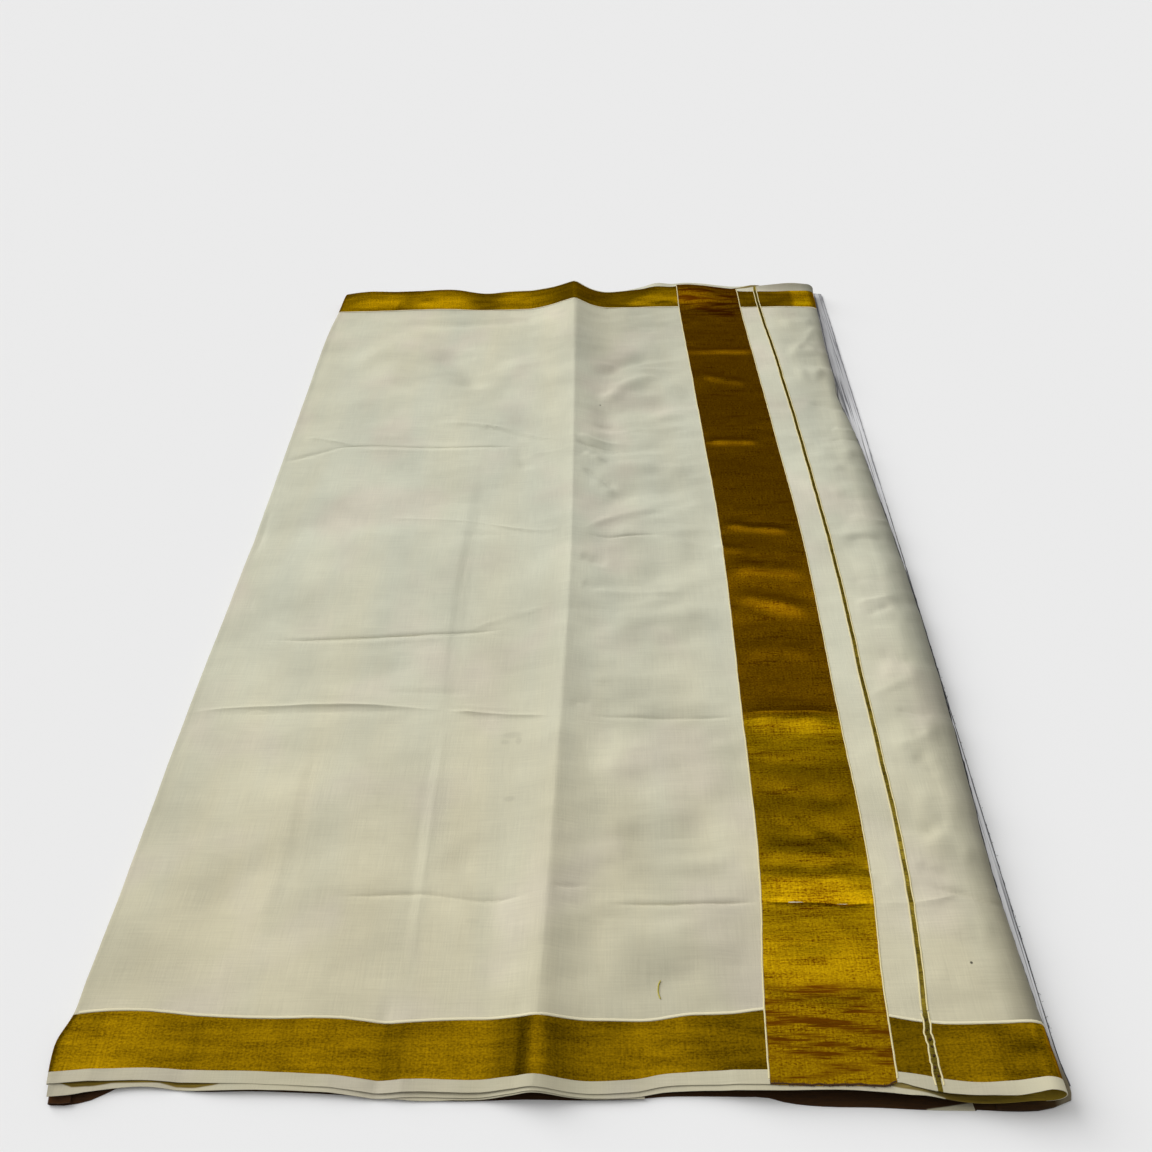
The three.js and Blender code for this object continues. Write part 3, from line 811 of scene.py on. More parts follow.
# %% Rows of the top stretch, from its near edge to its far one; a number is a crease's place
row_440 = smooth([
    (-346, -431), (-110, -428), (-10, -433), (100, -436.5), (240, -440), (300, -438), (346, -434),
])
row_236 = smooth([
    (-346, -236), (-280, -230), (-170, -229), (-100, -236), (-5, -248), (60, -246), (346, -244),
])
row_140 = smooth([
    (-346, -141), (-240, -141), (-160, -136), (-80, -132), (-50, -127), (0, -105), (160, -92),
    (346, -90),
])
row_40 = smooth([
    (-346, 60), (-240, 57.5), (-150, 49), (-110, 44), (-80, 33), (-50, 18), (-5, 0), (50, 8), (100, 16),
    (346, 14),
])
row_190 = smooth([
    (-346, 200), (-275, 191), (-200, 190), (-90, 190), (-30, 180), (0, 171), (45, 167), (346, 180),
])

creases_across = [near_in, row_440, row_236, row_140, row_40, row_190, far_in]
field_rows = []
for near, far in zip(creases_across, creases_across[1:]):
    field_rows += between(near, far, 2.7, 0.8)
SELVEDGE_CELL = 2.1
COURSES = {
    "near_selvedge": between(near_edge, near_out, SELVEDGE_CELL) + [near_out],
    "near_border": between(near_out, near_in, CELL) + [near_in],
    "field": field_rows + [far_in],
    "far_border": between(far_in, far_out, CELL) + [far_out],
    "far_selvedge": between(far_out, far_edge, SELVEDGE_CELL) + [far_edge],
}
ALL_ROWS = [row for course in COURSES.values() for row in course[:-1]] + [far_edge]
print(len(MAIN), "lines left of the band,", len(ALL_ROWS), "rows")

# %% One wall of the top stretch
LEFT_UNDER, RIGHT_UNDER = 5.0, 2.5  # how high the cloth runs back under each fold
LEAST_OPENING = 2.6  # inside the left fold


def stations_grid(stations, rows):
    """The grid of lines that each have an angle, and the column of those angles."""
    turn = np.array([angle for line, angle in stations])[:, None]
    return *grid([line for line, angle in stations], rows), turn


def folded_shell(name, x, y, high, low, reach, turn, coarse=1):
    """A stretch that lies at high, goes out by reach round its folds and comes back at low."""
    faces = []
    for inset in (0, THICK):
        middle, rise = (high + low) / 2, (high - low) / 2 - inset
        around = x + (reach - inset) * np.sin(turn)
        faces.append(np.stack([around, y, middle + rise * np.cos(turn) + 0 * y], axis=2))
    return shell(name, *faces, coarse, weave_of(faces[0]))


def top_wall(name, stations, rows, coarse=1):
    """A zone of the top stretch; its lines at an angle go round the left or the right fold."""
    x, y, turn = stations_grid(stations, rows)
    high = top_height(x, y)
    low = np.where(turn < 0, np.minimum(LEFT_UNDER, high - LEAST_OPENING), RIGHT_UNDER)
    reach = np.where(turn < 0, LEFT_TURN, RIGHT_TURN)
    return folded_shell(name, x, y, high, low, reach, turn, coarse)


# %% Cut the zones
BLOCKS = {"main": MAIN, "gap": GAP_LINES, "turn": TURN}
zones = {}
for block, stations in BLOCKS.items():
    for course, rows in COURSES.items():
        coarse = 3 if course == "field" and block != "turn" else 1
        zones[f"{course}_{block}"] = top_wall(f"{course}_{block}_cloth", stations, rows, coarse)
zones["pallu_band"] = top_wall("pallu_band_cloth", BAND_LINES, ALL_ROWS)
zones["gold_line"] = top_wall("gold_line_cloth", LINE_LINES, ALL_ROWS)
for zone in zones.values():
    print(zone.name, len(zone.data.polygons), "faces")

# %% [markdown]
# ## The stretches underneath
#
# The cloth goes round the right fold and comes back as the second stretch, which lies open there and
# closes up to the top one further left. Below it a third stretch ends in a cut edge, and the
# bottom stretch lies on the floor. Their edges stand a little out of line, as folded cloth's do.

# %% Edges and gaps of the second and third stretches
SECOND_SHOWS = smooth([
    (-346, 8.5), (-325, 8), (-305, 5.6), (-280, 4.2), (-250, 4.8), (-180, 3.4), (-110, 3.0), (-30, 2.6),
    (0, 2.2), (60, 3.2), (100, 4), (120, 4.9), (131, 5.2), (157, 5.4), (186, 5.4), (214, 5.8),
    (230, 5.8), (237, 5.9), (251, 4.3), (262, 3.2), (276, 1.8), (290, 0.3), (308, -0.5), (320, -0.2),
    (330, 0.4),
])
SECOND_GAP = smooth([
    (-346, 0.5), (-322, 1.3), (-300, 0.7), (-275, 0.3), (-247, 1.2), (-225, 0.3), (-150, 0.4),
    (-75, 1.6), (-20, 0.9), (0, 0.5), (60, 0.6), (150, 0.3), (240, 0.4), (346, 0.4),
])
second_far = smooth([(-346, 579), (-200, 580), (0, 580), (120, 583), (200, 582), (260, 580), (334, 571)])
third_far = smooth([(-346, 577), (-200, 578), (64, 581)])
THIRD_END = 64
GAP_INSIDE, THIRD_GAP = 0.9, 0.35  # between two stretches: far in, and at the near edge
EDGE_REACH = 40  # how far in from the near edge the stretches draw together
OPEN_FROM, OPEN_TO = 240, 303  # the second stretch leaves the top one between these
BULGE, BULGE_FROM, BULGE_LONG = 2.2, 334, 60  # of the open part, measured from the right
LEAST_HEIGHT = 1.1


def second_near(x):
    return even_edge(x) - SECOND_SHOWS(x)


def second_left(y):
    """Under the left fold, and drawn out a little at the near corner."""
    return left_crown(y) - 2.7 * ease((-558 - y) / 12)


def third_end(y):
    """The cut edge, which is never quite straight."""
    return THIRD_END + 1.2 * np.sin(y / 37)


# %% The second and third stretches
def at_edge(x, y):
    """1 at the near edge and 0 far in from it."""
    return ease(1 - (y - near_edge(x)) / EDGE_REACH)


def second_height(x, y):
    gap = mix(GAP_INSIDE, SECOND_GAP(x), at_edge(x, y))
    under_top = top_height(x, np.clip(y, near_edge(x), far_edge(x))) - THICK - gap
    bulge = BULGE * np.sin(np.clip((BULGE_FROM - x) / BULGE_LONG, 0, 1) * math.pi)
    lower_limb = RIGHT_UNDER + THICK + bulge * at_edge(x, y)
    return mix(under_top, lower_limb, ease((x - OPEN_FROM) / (OPEN_TO - OPEN_FROM)))


def third_height(x, y):
    return second_height(x, y) - THICK - mix(GAP_INSIDE, THIRD_GAP, at_edge(x, y))


def lower_wall(name, lines, rows, height):
    x, y = grid(lines, rows)
    z = np.maximum(height(x, y), LEAST_HEIGHT)
    faces = [np.stack([x, y, z - inset], axis=2) for inset in (0, THICK)]
    return shell(name, *faces, 1, weave_of(faces[0]))


def across(near, far):
    """Rows that are close together at both edges, where the sheets show."""
    inner_near, inner_far = beside(near, 60), beside(far, -60)
    edges = between(near, inner_near, 4), between(inner_far, far, 4)
    return [*edges[0], *between(inner_near, inner_far, 16), *edges[1], far]


third_near = smooth([
    (-346, -570), (-150, -572), (-118, -582.3), (-60, -584.6), (-20, -583.7), (30, -584), (64, -583),
])
lower_left = between(second_left, old_fold, 6) + between(old_fold, ridge, 5, 0.5)
lower_right = between(ridge, band_left, 5, 0.5) + between(band_left, right_crown, 5) + [right_crown]
second_rows, third_rows = across(second_near, second_far), across(third_near, third_far)
second = lower_wall("second_stretch_cloth", lower_left + lower_right, second_rows, second_height)
to_cut_edge = between(ridge, third_end, 4) + [third_end]
third = lower_wall("third_stretch_cloth", lower_left + to_cut_edge, third_rows, third_height)
print("second", len(second.data.polygons), "third", len(third.data.polygons))

# %% The bottom stretch, folded up at both sides
bottom_near_left = smooth([
    (-346, -586), (-339, -589), (-326, -588.8), (-311, -585), (-300, -579), (-289, -573), (-275, -574),
    (-250, -578.4), (-200, -578.6), (-150, -580.3), (-112, -582.4), (-60, -584.6), (-20, -583.2),
    (30, -583.4), (60, -582.3), (75, -580.8), (100, -580.2), (128, -580.4), (147, -581), (158, -584),
    (172, -585.8), (186, -586.6), (215, -586.9), (250, -588.3), (283, -588.7),
])
bottom_near_right = smooth([
    (283, -588), (311, -589), (324, -588.4), (336, -585.7), (344, -582.4), (349, -579.5),
])
END_CORNER = 283  # the saree's cut end stops here, and its corner peeps out


def bottom_near(x):
    return np.where(x < END_CORNER, bottom_near_left(x), bottom_near_right(x))


bottom_far = smooth([(-346, 578), (-60, 578), (100, 581), (200, 585), (260, 588.3), (300, 587), (346, 578)])
bottom_left = beside(left_fold, 3.2)
bottom_right = smooth([
    (-590, 343), (-583, 344.8), (-578, 346.6), (-572, 347), (-562, 345.8), (-545, 344.8), (-530, 344.8),
    (600, 344.8),
])
before_corner, after_corner = straight(END_CORNER - 0.4), straight(END_CORNER + 0.4)
UPPER_END = straight(296)  # where the limb over the right fold ends
RESTS = 0.1
LEFT_HIGH, FOLD_HIGH = 3.4, 2.3  # tops of the left fold and of the right one
LEFT_REACH, FOLD_REACH = 1.9, 1.2

# The stations start on the right fold's upper limb, run left along the floor and end on the left fold's.
bottom_stations = [
    *level_lines(between(UPPER_END, bottom_right, 4)),
    *round_fold(bottom_right, 0, math.pi, 7)[:-1],
    *level_lines(
        between(after_corner, bottom_right, 10)[:0:-1],
        [after_corner, before_corner],
        between(bottom_left, before_corner, 9)[:0:-1],
        angle=math.pi,
    ),
    *round_fold(bottom_left, math.pi, 2 * math.pi, 8),
    *level_lines([beside(bottom_left, 6), beside(bottom_left, 14)], angle=2 * math.pi),
]
x, y, turn = stations_grid(bottom_stations, across(bottom_near, bottom_far))
at_left = turn > math.pi + 0.01
high = np.where(at_left, LEFT_HIGH, FOLD_HIGH)
reach = np.where(at_left, LEFT_REACH, FOLD_REACH)
bottom = folded_shell("bottom_stretch_cloth", x, y, high, RESTS, reach, turn)
print("bottom", len(bottom.data.polygons))

# %% [markdown]
# ## Cotton
#
# Handloom cotton is never one flat cream. Threads vary in thickness, so fine streaks run both ways,
# and the cream changes faintly in broad patches. A picture of a small swatch would repeat, so the
# threads are noise stretched along the cloth's own UV map. The tone is a pair of soft ramps: painted
# shade across the cloth, darker right of the ridge and by the edges of the folds, and a ramp that
# darkens it towards the near edge. Three finishes lie over the cream where they are asked for: a
# lower stretch's own border, in painted light and shade; grey on the lowest fold, with dirty streaks,
# painted shade and a painted shadow; and the border's back inside the right fold, lightened as
# painted light.

# %% Coordinates and threads
def start_material(name):
    material = bpy.data.materials.new(name)
    material.use_nodes = True
    nodes = Nodes(material.node_tree)
    shader = material.node_tree.nodes["Principled BSDF"]
    along, across, _ = nodes.split(nodes.add("ShaderNodeUVMap", {"uv_map": WEAVE}))
    x, y, z = nodes.split(nodes.add("ShaderNodeTexCoord", output=3))
    return material, nodes, shader, (along, across), (x, y, z)


def streaks(nodes, uv, long, wide, detail=2.0, layer=0.0):
    """Noise from about 0.2 to 0.8 in spots `long` by `wide` metres."""
    spot = nodes.add("ShaderNodeCombineXYZ", None, {0: uv[0] / long, 1: uv[1] / wide, 2: layer})
    return nodes.add("ShaderNodeTexNoise", None, {"Vector": spot, "Scale": 1.0, "Detail": detail})


def finish_material(nodes, shader, colour, roughness, height, depth):
    """Link what varies; depth is the bump's real depth in metres."""
    bump = nodes.add("ShaderNodeBump", None, {"Height": height, "Distance": depth, "Strength": 1.0})
    nodes.tree.links.new(colour.socket, shader.inputs["Base Color"])
    nodes.tree.links.new(roughness.socket, shader.inputs["Roughness"])
    nodes.tree.links.new(bump.socket, shader.inputs["Normal"])


def plain_weave(uv, pitch):
    turn = 2 * math.pi / pitch
    return (uv[0] * turn).sine() * (uv[1] * turn).sine()


# %% Colours and tones of cotton
COOL_CREAM, WARM_CREAM, PINK_CREAM = (0.61, 0.612, 0.485), (0.62, 0.574, 0.405), (0.64, 0.58, 0.47)
# The pressed fold's grey, a dark grey for its dirty streaks and painted shade, and a brown painted shadow
# for its near corner
FOLD_GREY, DIRT_AND_SHADE_GREY, CORNER_SHADOW = (0.8, 0.8, 0.81), (0.16, 0.16, 0.17), (0.19, 0.16, 0.1)
OLIVE = (0.36, 0.25, 0.02)  # the gold border's back inside the fold, lightened as painted light against the fold's shade
LIT_AND_SHADED_GOLD = [  # x, colour: painted light and shade, olive and lightened where light gets in, dark brown in the hollow under the band
    (-350, (0.13, 0.085, 0.006)), (-316, (0.13, 0.085, 0.006)), (-225, (0.17, 0.115, 0.014)),
    (-190, (0.035, 0.013, 0.0004)), (221, (0.035, 0.013, 0.0004)), (229, (0.2, 0.15, 0.04)),
    (256, (0.16, 0.12, 0.03)), (264, (0.12, 0.08, 0.006)), (290, (0.2, 0.135, 0.01)),
    (310, (0.3, 0.21, 0.02)), (325, (0.36, 0.25, 0.02)), (340, (0.36, 0.25, 0.02)),
]
# x, colour: the lower stretches' gold, painted near black as shade under the stack
SHADED_LOWER_GOLD = [
    (-350, (0.04, 0.013, 0.0002)), (270, (0.032, 0.012, 0.0003)), (325, (0.035, 0.014, 0.0004)),
    (340, (0.06, 0.035, 0.006)),
]
BORDER_END = 574  # where the gold border gives way to the selvedge, from the middle of the cloth
SHADE_ACROSS = [  # x, tone: painted shade, darker right of the ridge and by the edges of both folds
    (-349, 0.6), (-342, 0.76), (-334, 0.93), (-200, 0.96), (-60, 0.93), (-12, 0.88), (8, 0.93),
    (60, 0.87), (145, 0.88), (170, 0.95), (262, 0.96), (290, 0.88), (312, 0.82), (322, 0.6), (334, 0.42),
    (350, 0.4),
]
TONE_AWAY = [
    (-590, 0.86), (-574, 0.88), (-530, 0.94), (-440, 0.97), (-330, 1.0), (590, 1.0),
]
WARMTH_AWAY = [
    (-590, 1.0), (-480, 0.9), (-330, 0.7), (-150, 0.3), (50, 0.12), (250, 0.2), (590, 0.45),
]
STAINS_AND_SHADE = [  # x, y, half width, half height, strength
    (-44, -266, 9, 4, 0.10),
    (-38, -273, 3, 5, 0.10),
    (-50, -274, 4, 3, 0.08),
    (-42, -337, 5, 3, 0.10),
    (-63, -452, 6, 3, 0.05),
    (300, -490, 1.1, 1.2, 0.85),
    (31, 276, 1.0, 1.6, 0.6),
    # painted shade: a long strip on the old fold at x = -107, and patches over the far part right of the
    # ridge
    (-107, -50, 9, 200, 0.07),
    (128, 300, 14, 20, 0.05),
    (60, 430, 75, 120, 0.10),
    (300, 420, 40, 150, 0.12),
]
SPAN_X, SPAN_Y = (-0.36, 0.72), (-0.6, 1.2)  # where a ramp starts and how long it is, in metres


def along_ramp(nodes, value, span, rows):
    """A ramp whose rows are (place in millimetres, grey or colour)."""
    start, length = span
    stops = [((place * MM - start) / length, tone) for place, tone in rows]
    return nodes.ramp((value - start) / length, stops)


def along_grey(nodes, value, span, rows):
    return nodes.split(along_ramp(nodes, value, span, rows))[0]


# %% Finishes that lie over the cream
REACH_SPAN = 30  # the ramp holds 0 to 1, so a reach is kept as a share of this


def with_border(nodes, uv, x, y, colour, gold_reach, gold_tones):
    """A lower stretch's border, coloured in painted light and shade; gold_reach is how far out from the
    middle its gold goes.
    """
    from_middle = y.size() / MM
    share = [(place, (reach - BORDER_END) / REACH_SPAN) for place, reach in gold_reach]
    outside = BORDER_END + REACH_SPAN * along_grey(nodes, x, SPAN_X, share)
    gold = from_middle.step(536, 538) * (1 - (from_middle - outside).step(-0.6, 0.6))
    lower = along_ramp(nodes, x, SPAN_X, gold_tones)
    silk = streaks(nodes, uv, 0.012, 0.0011, 3.0, 8.0)
    # painted shade: the gold darkens further in from the edge
    hollow = 0.3 + 0.7 * from_middle.step(566, 575)
    return nodes.blend(colour, nodes.scaled(lower, (0.3 + 1.4 * silk) * hollow), gold)


def with_grey_dirt_and_shadow(nodes, x, y, colour, greyness):
    """Grey over the cream on the pressed fold at the right, with dirty streaks, painted shade towards the
    far end and a painted shadow at the near end.
    """
    further_in = 9 * MM * (y / MM).step(-560, -400)
    grey = along_grey(nodes, x + further_in, SPAN_X, greyness)
    dirt = streaks(nodes, (x, y), 0.0013, 0.12, 2.0, 6.0).step(0.52, 0.66)
    # dirty streaks, and painted shade towards the far end
    dirt_and_far_shade = (0.8 * dirt + 0.5 * (y / MM).step(190, 330)).clamped()
    dirt_and_shadow = nodes.blend(FOLD_GREY, DIRT_AND_SHADE_GREY, dirt_and_far_shade)
    # a painted shadow at the near corner
    dirt_and_shadow = nodes.blend(dirt_and_shadow, CORNER_SHADOW, 1 - (y / MM).step(-572, -520))
    return nodes.blend(colour, dirt_and_shadow, grey)


def with_lit_lining(nodes, z, colour):
    """The border's back on what faces into the right fold, lightened as painted light."""
    facing = nodes.split(nodes.add("ShaderNodeTexCoord", output=1))
    lower_limb = facing[2].step(0.2, 0.5) * (1 - (z / MM).step(7, 9))
    inward = 1 - facing[0].step(-0.4, -0.2) * (1 - lower_limb)
    return nodes.blend(colour, OLIVE, inward)


# %% Cotton
PITCH, COTTON_DEPTH = 0.0009, 0.00022  # metres between threads, and how deep the weave is


def cotton(name, gold_reach=None, gold_tones=None, greyness=None, lined=False):
    """Cream cotton, with a border, with dust or with the border's back where asked for."""
    material, nodes, shader, uv, (x, y, z) = start_material(name)
    cloud = streaks(nodes, (x, y), 0.11, 0.075, 3.0)
    haze = streaks(nodes, (x, y), 0.05, 0.30, 2.0, 4.0)
    weft = streaks(nodes, uv, 0.0012, 0.032, 3.0, 1.0)
    warp = streaks(nodes, uv, 0.032, 0.0012, 3.0, 2.0)
    warmth = along_grey(nodes, y, SPAN_Y, WARMTH_AWAY)
    tone = along_grey(nodes, x, SPAN_X, SHADE_ACROSS) * along_grey(nodes, y, SPAN_Y, TONE_AWAY)
    tone = tone * (1 + 0.46 * (cloud - 0.5) + 0.16 * (haze - 0.5))
    tone = tone * (1 + 0.17 * (weft - 0.5) + 0.19 * (warp - 0.5))
    # painted light over the right fold, which lifts the painted shade there except along the near edge
    in_the_light = 0.9 * (x / MM).step(285, 330) * (1 - (y / MM).step(-573, -569))
    tone = tone + (1.05 - tone) * in_the_light
    for place_x, place_y, half_x, half_y, strength in STAINS_AND_SHADE:
        off_x, off_y = (x - place_x * MM) / (half_x * MM), (y - place_y * MM) / (half_y * MM)
        far = off_x * off_x + off_y * off_y
        tone = tone * (1 - strength * (1 - far.step(0.2, 1.4)))
    cream = nodes.blend(COOL_CREAM, WARM_CREAM, (warmth + 1.1 * (haze - 0.5)).clamped())
    flush = streaks(nodes, (x, y), 0.09, 0.12, 2.0, 9.0)
    cream = nodes.blend(cream, PINK_CREAM, 0.6 * flush.step(0.48, 0.72))
    colour = nodes.scaled(cream, tone)
    if gold_reach:
        colour = with_border(nodes, uv, x, y, colour, gold_reach, gold_tones)
    if greyness:
        colour = with_grey_dirt_and_shadow(nodes, x, y, colour, greyness)
    if lined:
        colour = with_lit_lining(nodes, z, colour)
    roughness = 0.86 + 0.1 * (weft - 0.5)
    height = 0.55 * weft + 0.55 * warp + 0.12 * plain_weave(uv, PITCH)
    finish_material(nodes, shader, colour, roughness, height, COTTON_DEPTH)
    shader.inputs["Specular IOR Level"].default_value = 0.25
    shader.inputs["Sheen Weight"].default_value = 0.08
    shader.inputs["Sheen Roughness"].default_value = 0.5
    return material


# %% [markdown]
# ## Gold thread
#
# Zari is flat metal strip wound on thread, so it glitters in tiny flecks and looks silky along its
# creases. A metal shader does the shine, and noise of two shapes, small flecks and long streaks,
# sets both the gold's tone and its bump. Ramps along or across the cloth paint highlights and shade
# into the gold's colour, so the near and far borders are one gold under two painted lights. Browner
# cotton shows through in ragged streaks, most at both ends of the band.

# %% Gold
EDGE_TINT = (0.5, 0.37, 0.02)
BROWN = (0.11, 0.035, 0.0006)
GOLD_DEPTH = 0.0001
ACROSS, AWAY = (0, SPAN_X), (1, SPAN_Y)  # the axis that a tone follows, and its ramp's span


def zari(name, dark, bright, follows, tone_rows, brown_rows=None, flecked=1.05, silky=0.8):
    """Gold cloth whose tone follows rows across or away, as painted highlights and shade; brown_rows say
    where it turns brown.
    """
    material, nodes, shader, uv, place = start_material(name)
    axis, span = follows
    silk = streaks(nodes, uv, 0.02, 0.0013, 3.0)
    crossing = streaks(nodes, uv, 0.0012, 0.016, 3.0, 3.0)
    flecks = streaks(nodes, uv, 0.0021, 0.0012, 2.0, 5.0)
    worn = streaks(nodes, uv, 0.055, 0.008, 3.0, 7.0)
    tone = along_ramp(nodes, place[axis], span, tone_rows)
    share = 0.36 + flecked * (flecks - 0.5) + silky * (silk - 0.5) + 0.5 * (crossing - 0.5)
    gold = nodes.blend(dark, bright, (share + 0.9 * (worn - 0.5)).clamped())
    if brown_rows:
        brown = along_grey(nodes, place[axis], span, brown_rows)
        ragged = (silk - 0.5) * 2.0 + (worn - 0.5) * 3.0
        gold = nodes.blend(gold, BROWN, (brown * (0.25 + ragged) * 2.1).clamped())
    colour = nodes.add("ShaderNodeVectorMath", {"operation": "MULTIPLY"}, {0: gold, 1: tone})
    roughness = 0.33 + 0.25 * (flecks - 0.5)
    height = 0.9 * flecks + 0.9 * silk + 0.35 * crossing
    finish_material(nodes, shader, colour, roughness, height, GOLD_DEPTH)
    shader.inputs["Metallic"].default_value = 1.0
    shader.inputs["Specular Tint"].default_value = (*EDGE_TINT, 1)
    return material


# %% The gold cloths
# x, tone: painted highlights and shade along the near border
NEAR_BORDER_SHADE_AND_GLINT = [
    (-350, 0.75), (-338, 1.0), (-300, 1.0), (-275, 0.82), (-255, 0.68), (-238, 0.8), (-205, 0.8),
    (-190, 0.76), (-175, 0.84), (-140, 0.82), (-118, 0.6), (-100, 0.64), (-88, 0.8), (-40, 0.8),
    (-24, 0.5), (-12, 0.78), (-4, 0.6), (15, 0.48), (45, 0.62), (60, 0.72), (90, 0.68), (100, 0.54),
    (146, 0.46), (232, 0.42), (258, 0.48), (270, 0.64), (300, 0.78), (326, 0.6), (331, 1.1), (335, 1.5),
    (339, 0.6), (348, 0.15),
]
# x, tone: painted highlights and shade along the far border
FAR_BORDER_SHADE_AND_GLINT = [
    (-350, 1.3), (-262, 1.45), (-240, 1.0), (-222, 1.5), (-160, 1.5), (-140, 1.0), (-122, 1.1),
    (-100, 1.8), (-60, 1.4), (-20, 1.0), (60, 0.95), (140, 0.9), (232, 0.9), (262, 1.1), (296, 1.1),
    (302, 2.7), (320, 2.7), (327, 1.2), (350, 0.7),
]


def warm(tone):
    return (1.1 * tone, 0.93 * tone, tone)


# y, tone: painted highlights and shade along the band, with a warmer tint over most of it
BAND_SHADE_AND_GLINT = [
    (-590, 1.15), (-545, 1.0), (-520, 1.35), (-500, 1.55), (-470, 1.65), (-452, 1.0), (-442, 1.2),
    (-438, 1.9), (-428, 1.6), (-415, 1.45), (-411, 1.0), (-402, 1.1), (-385, 0.95), (-275, 1.05),
    (-266, 1.35), (-252, 1.35), (-247, warm(0.83)), (-140, warm(0.78)), (-120, warm(1.0)),
    (-70, warm(1.15)), (-50, warm(1.0)), (0, warm(0.78)), (300, warm(0.8)), (390, warm(0.9)),
    (395, warm(1.6)), (400, warm(1.6)), (406, warm(0.88)), (530, warm(0.88)), (560, warm(1.15)),
]
# y, share of brown: most at both ends of the band
BAND_BROWN = [
    (-590, 0.5), (-562, 0.6), (-548, 1.05), (-530, 1.0), (-513, 0.75), (-500, 0.15), (-430, 0.05),
    (-330, 0.35), (-260, 0.0), (-230, 0.36), (480, 0.36), (520, 1.0), (590, 1.0),
]
BORDER_COLOURS = dict(dark=(0.14, 0.074, 0.0006), bright=(0.64, 0.37, 0.003))
BORDER = dict(follows=ACROSS, flecked=1.25, silky=0.45, **BORDER_COLOURS)
# The near and far borders are one gold in two copies, lit and shaded apart by their painted tones.
near_gold = zari("near_border_gold", tone_rows=NEAR_BORDER_SHADE_AND_GLINT, **BORDER)
far_gold = zari("far_border_gold", tone_rows=FAR_BORDER_SHADE_AND_GLINT, **BORDER)
# y, tone: painted highlights and shade along the gold line
LINE_SHADE_AND_GLINT = [
    (-590, 0.6), (-540, 0.6), (-515, 1.3), (-450, 1.1), (-400, 1.7), (-300, 1.25), (-150, 1.15),
    (100, 1.15), (400, 1.0), (590, 1.0),
]
line_gold = zari("line_gold", (0.085, 0.06, 0.01), (0.42, 0.31, 0.03), AWAY, LINE_SHADE_AND_GLINT)
band_gold = zari("band_gold", (0.105, 0.034, 0.0003), (0.7, 0.45, 0.003), AWAY, BAND_SHADE_AND_GLINT, BAND_BROWN)
print("gold cloths", [gold.name for gold in (near_gold, far_gold, line_gold, band_gold)])

# %% The cottons, upper and lower; rows are x and how far out the gold goes
# From x = 268 on, the gold runs out past the second stretch's edge, so its open part shows the painted
# olive.
GOLD_SECOND = [
    (-348, 574), (-338, 576), (-326, 579.3), (-313, 578), (-300, 575), (-268, 574.3), (-256, 576.8),
    (-243, 577.8), (-230, 576.2), (-222, 574), (214, 574), (226, 577.5), (234, 579.3), (243, 580.8),
    (252, 582.4), (262, 585), (268, 602), (348, 602),
]
GOLD_THIRD = [
    (-348, 574), (-110, 581), (-60, 583.6), (-20, 582.6), (30, 583), (64, 582),
]
# The gold runs out past the bottom's near edge, so that edge shows the painted shade all along but at the
# cut corner.
GOLD_BOTTOM = [
    (-348, 604), (245, 604), (249, 588.2), (264, 586.2), (282, 583.2), (284, 604), (348, 604),
]
cream = cotton("cream_cotton")
lined_cream = cotton("lined_selvedge_cotton", lined=True)
second_cotton = cotton("second_stretch_cotton", GOLD_SECOND, LIT_AND_SHADED_GOLD)
third_cotton = cotton("third_stretch_cotton", GOLD_THIRD, LIT_AND_SHADED_GOLD)
bottom_cotton = cotton("bottom_stretch_cotton", GOLD_BOTTOM, SHADED_LOWER_GOLD, greyness=[(335, 0), (339, 1)])
# The inner folds show that near-black painted shade along their near and far sides.
inner_cotton = cotton("inner_folds_cotton", [(-348, 602), (348, 602)], SHADED_LOWER_GOLD)
print("cottons", [cloth.name for cloth in (cream, lined_cream, second_cotton, third_cotton)])

# %% [markdown]
# ## Growing things along a line
#
# Thick cream threads edge the gold, and loose fibres stand off the folds. Both follow a line on
# the cloth, so a Geometry Nodes tree grows each kind from the line. The tree has named inputs, and a
# seed keeps its randomness the same every time. The result is kept as a plain mesh.

# %% Making and running a tree
def start_tree(name, inputs):
    """A new tree, its nodes, and its inputs by name; inputs are (name, kind) pairs."""
    tree = bpy.data.node_groups.new(name, "GeometryNodeTree")
    for label, kind in [("Line", "Geometry"), *inputs, ("Material", "Material")]:
        tree.interface.new_socket(label, in_out="INPUT", socket_type="NodeSocket" + kind)
    tree.interface.new_socket("Result", in_out="OUTPUT", socket_type="NodeSocketGeometry")
    nodes = Nodes(tree)
    given = {s.name: Amount(nodes, s) for s in tree.nodes.new("NodeGroupInput").outputs if s.name}
    return tree, nodes, given


def end_tree(tree, nodes, shape, material):
    real = nodes.add("GeometryNodeRealizeInstances", None, {0: shape})
    painted = nodes.add("GeometryNodeSetMaterial", None, {"Geometry": real, "Material": material})
    tree.links.new(painted.socket, tree.nodes.new("NodeGroupOutput").inputs[0])
    return tree


def grow(tree, name, line, **given):
    """Run a tree on a line of (x, y, z) points in millimetres and keep what grows."""
    mesh = bpy.data.meshes.new(name)
    steps = [(k, k + 1) for k in range(len(line) - 1)]
    mesh.from_pydata([tuple(p) for p in np.array(line) * MM], steps, [])
    piece = put(name, mesh)
    modifier = piece.modifiers.new("grow", "NODES")
    modifier.node_group = tree
    for item in tree.interface.items_tree:
        if item.in_out == "INPUT" and item.name in given:
            modifier[item.identifier] = given[item.name]
    evaluated = piece.evaluated_get(bpy.context.evaluated_depsgraph_get())
    grown = bpy.data.meshes.new_from_object(evaluated)
    piece.modifiers.clear()
    piece.data = grown
    print(name, len(grown.polygons), "faces")
    return piece


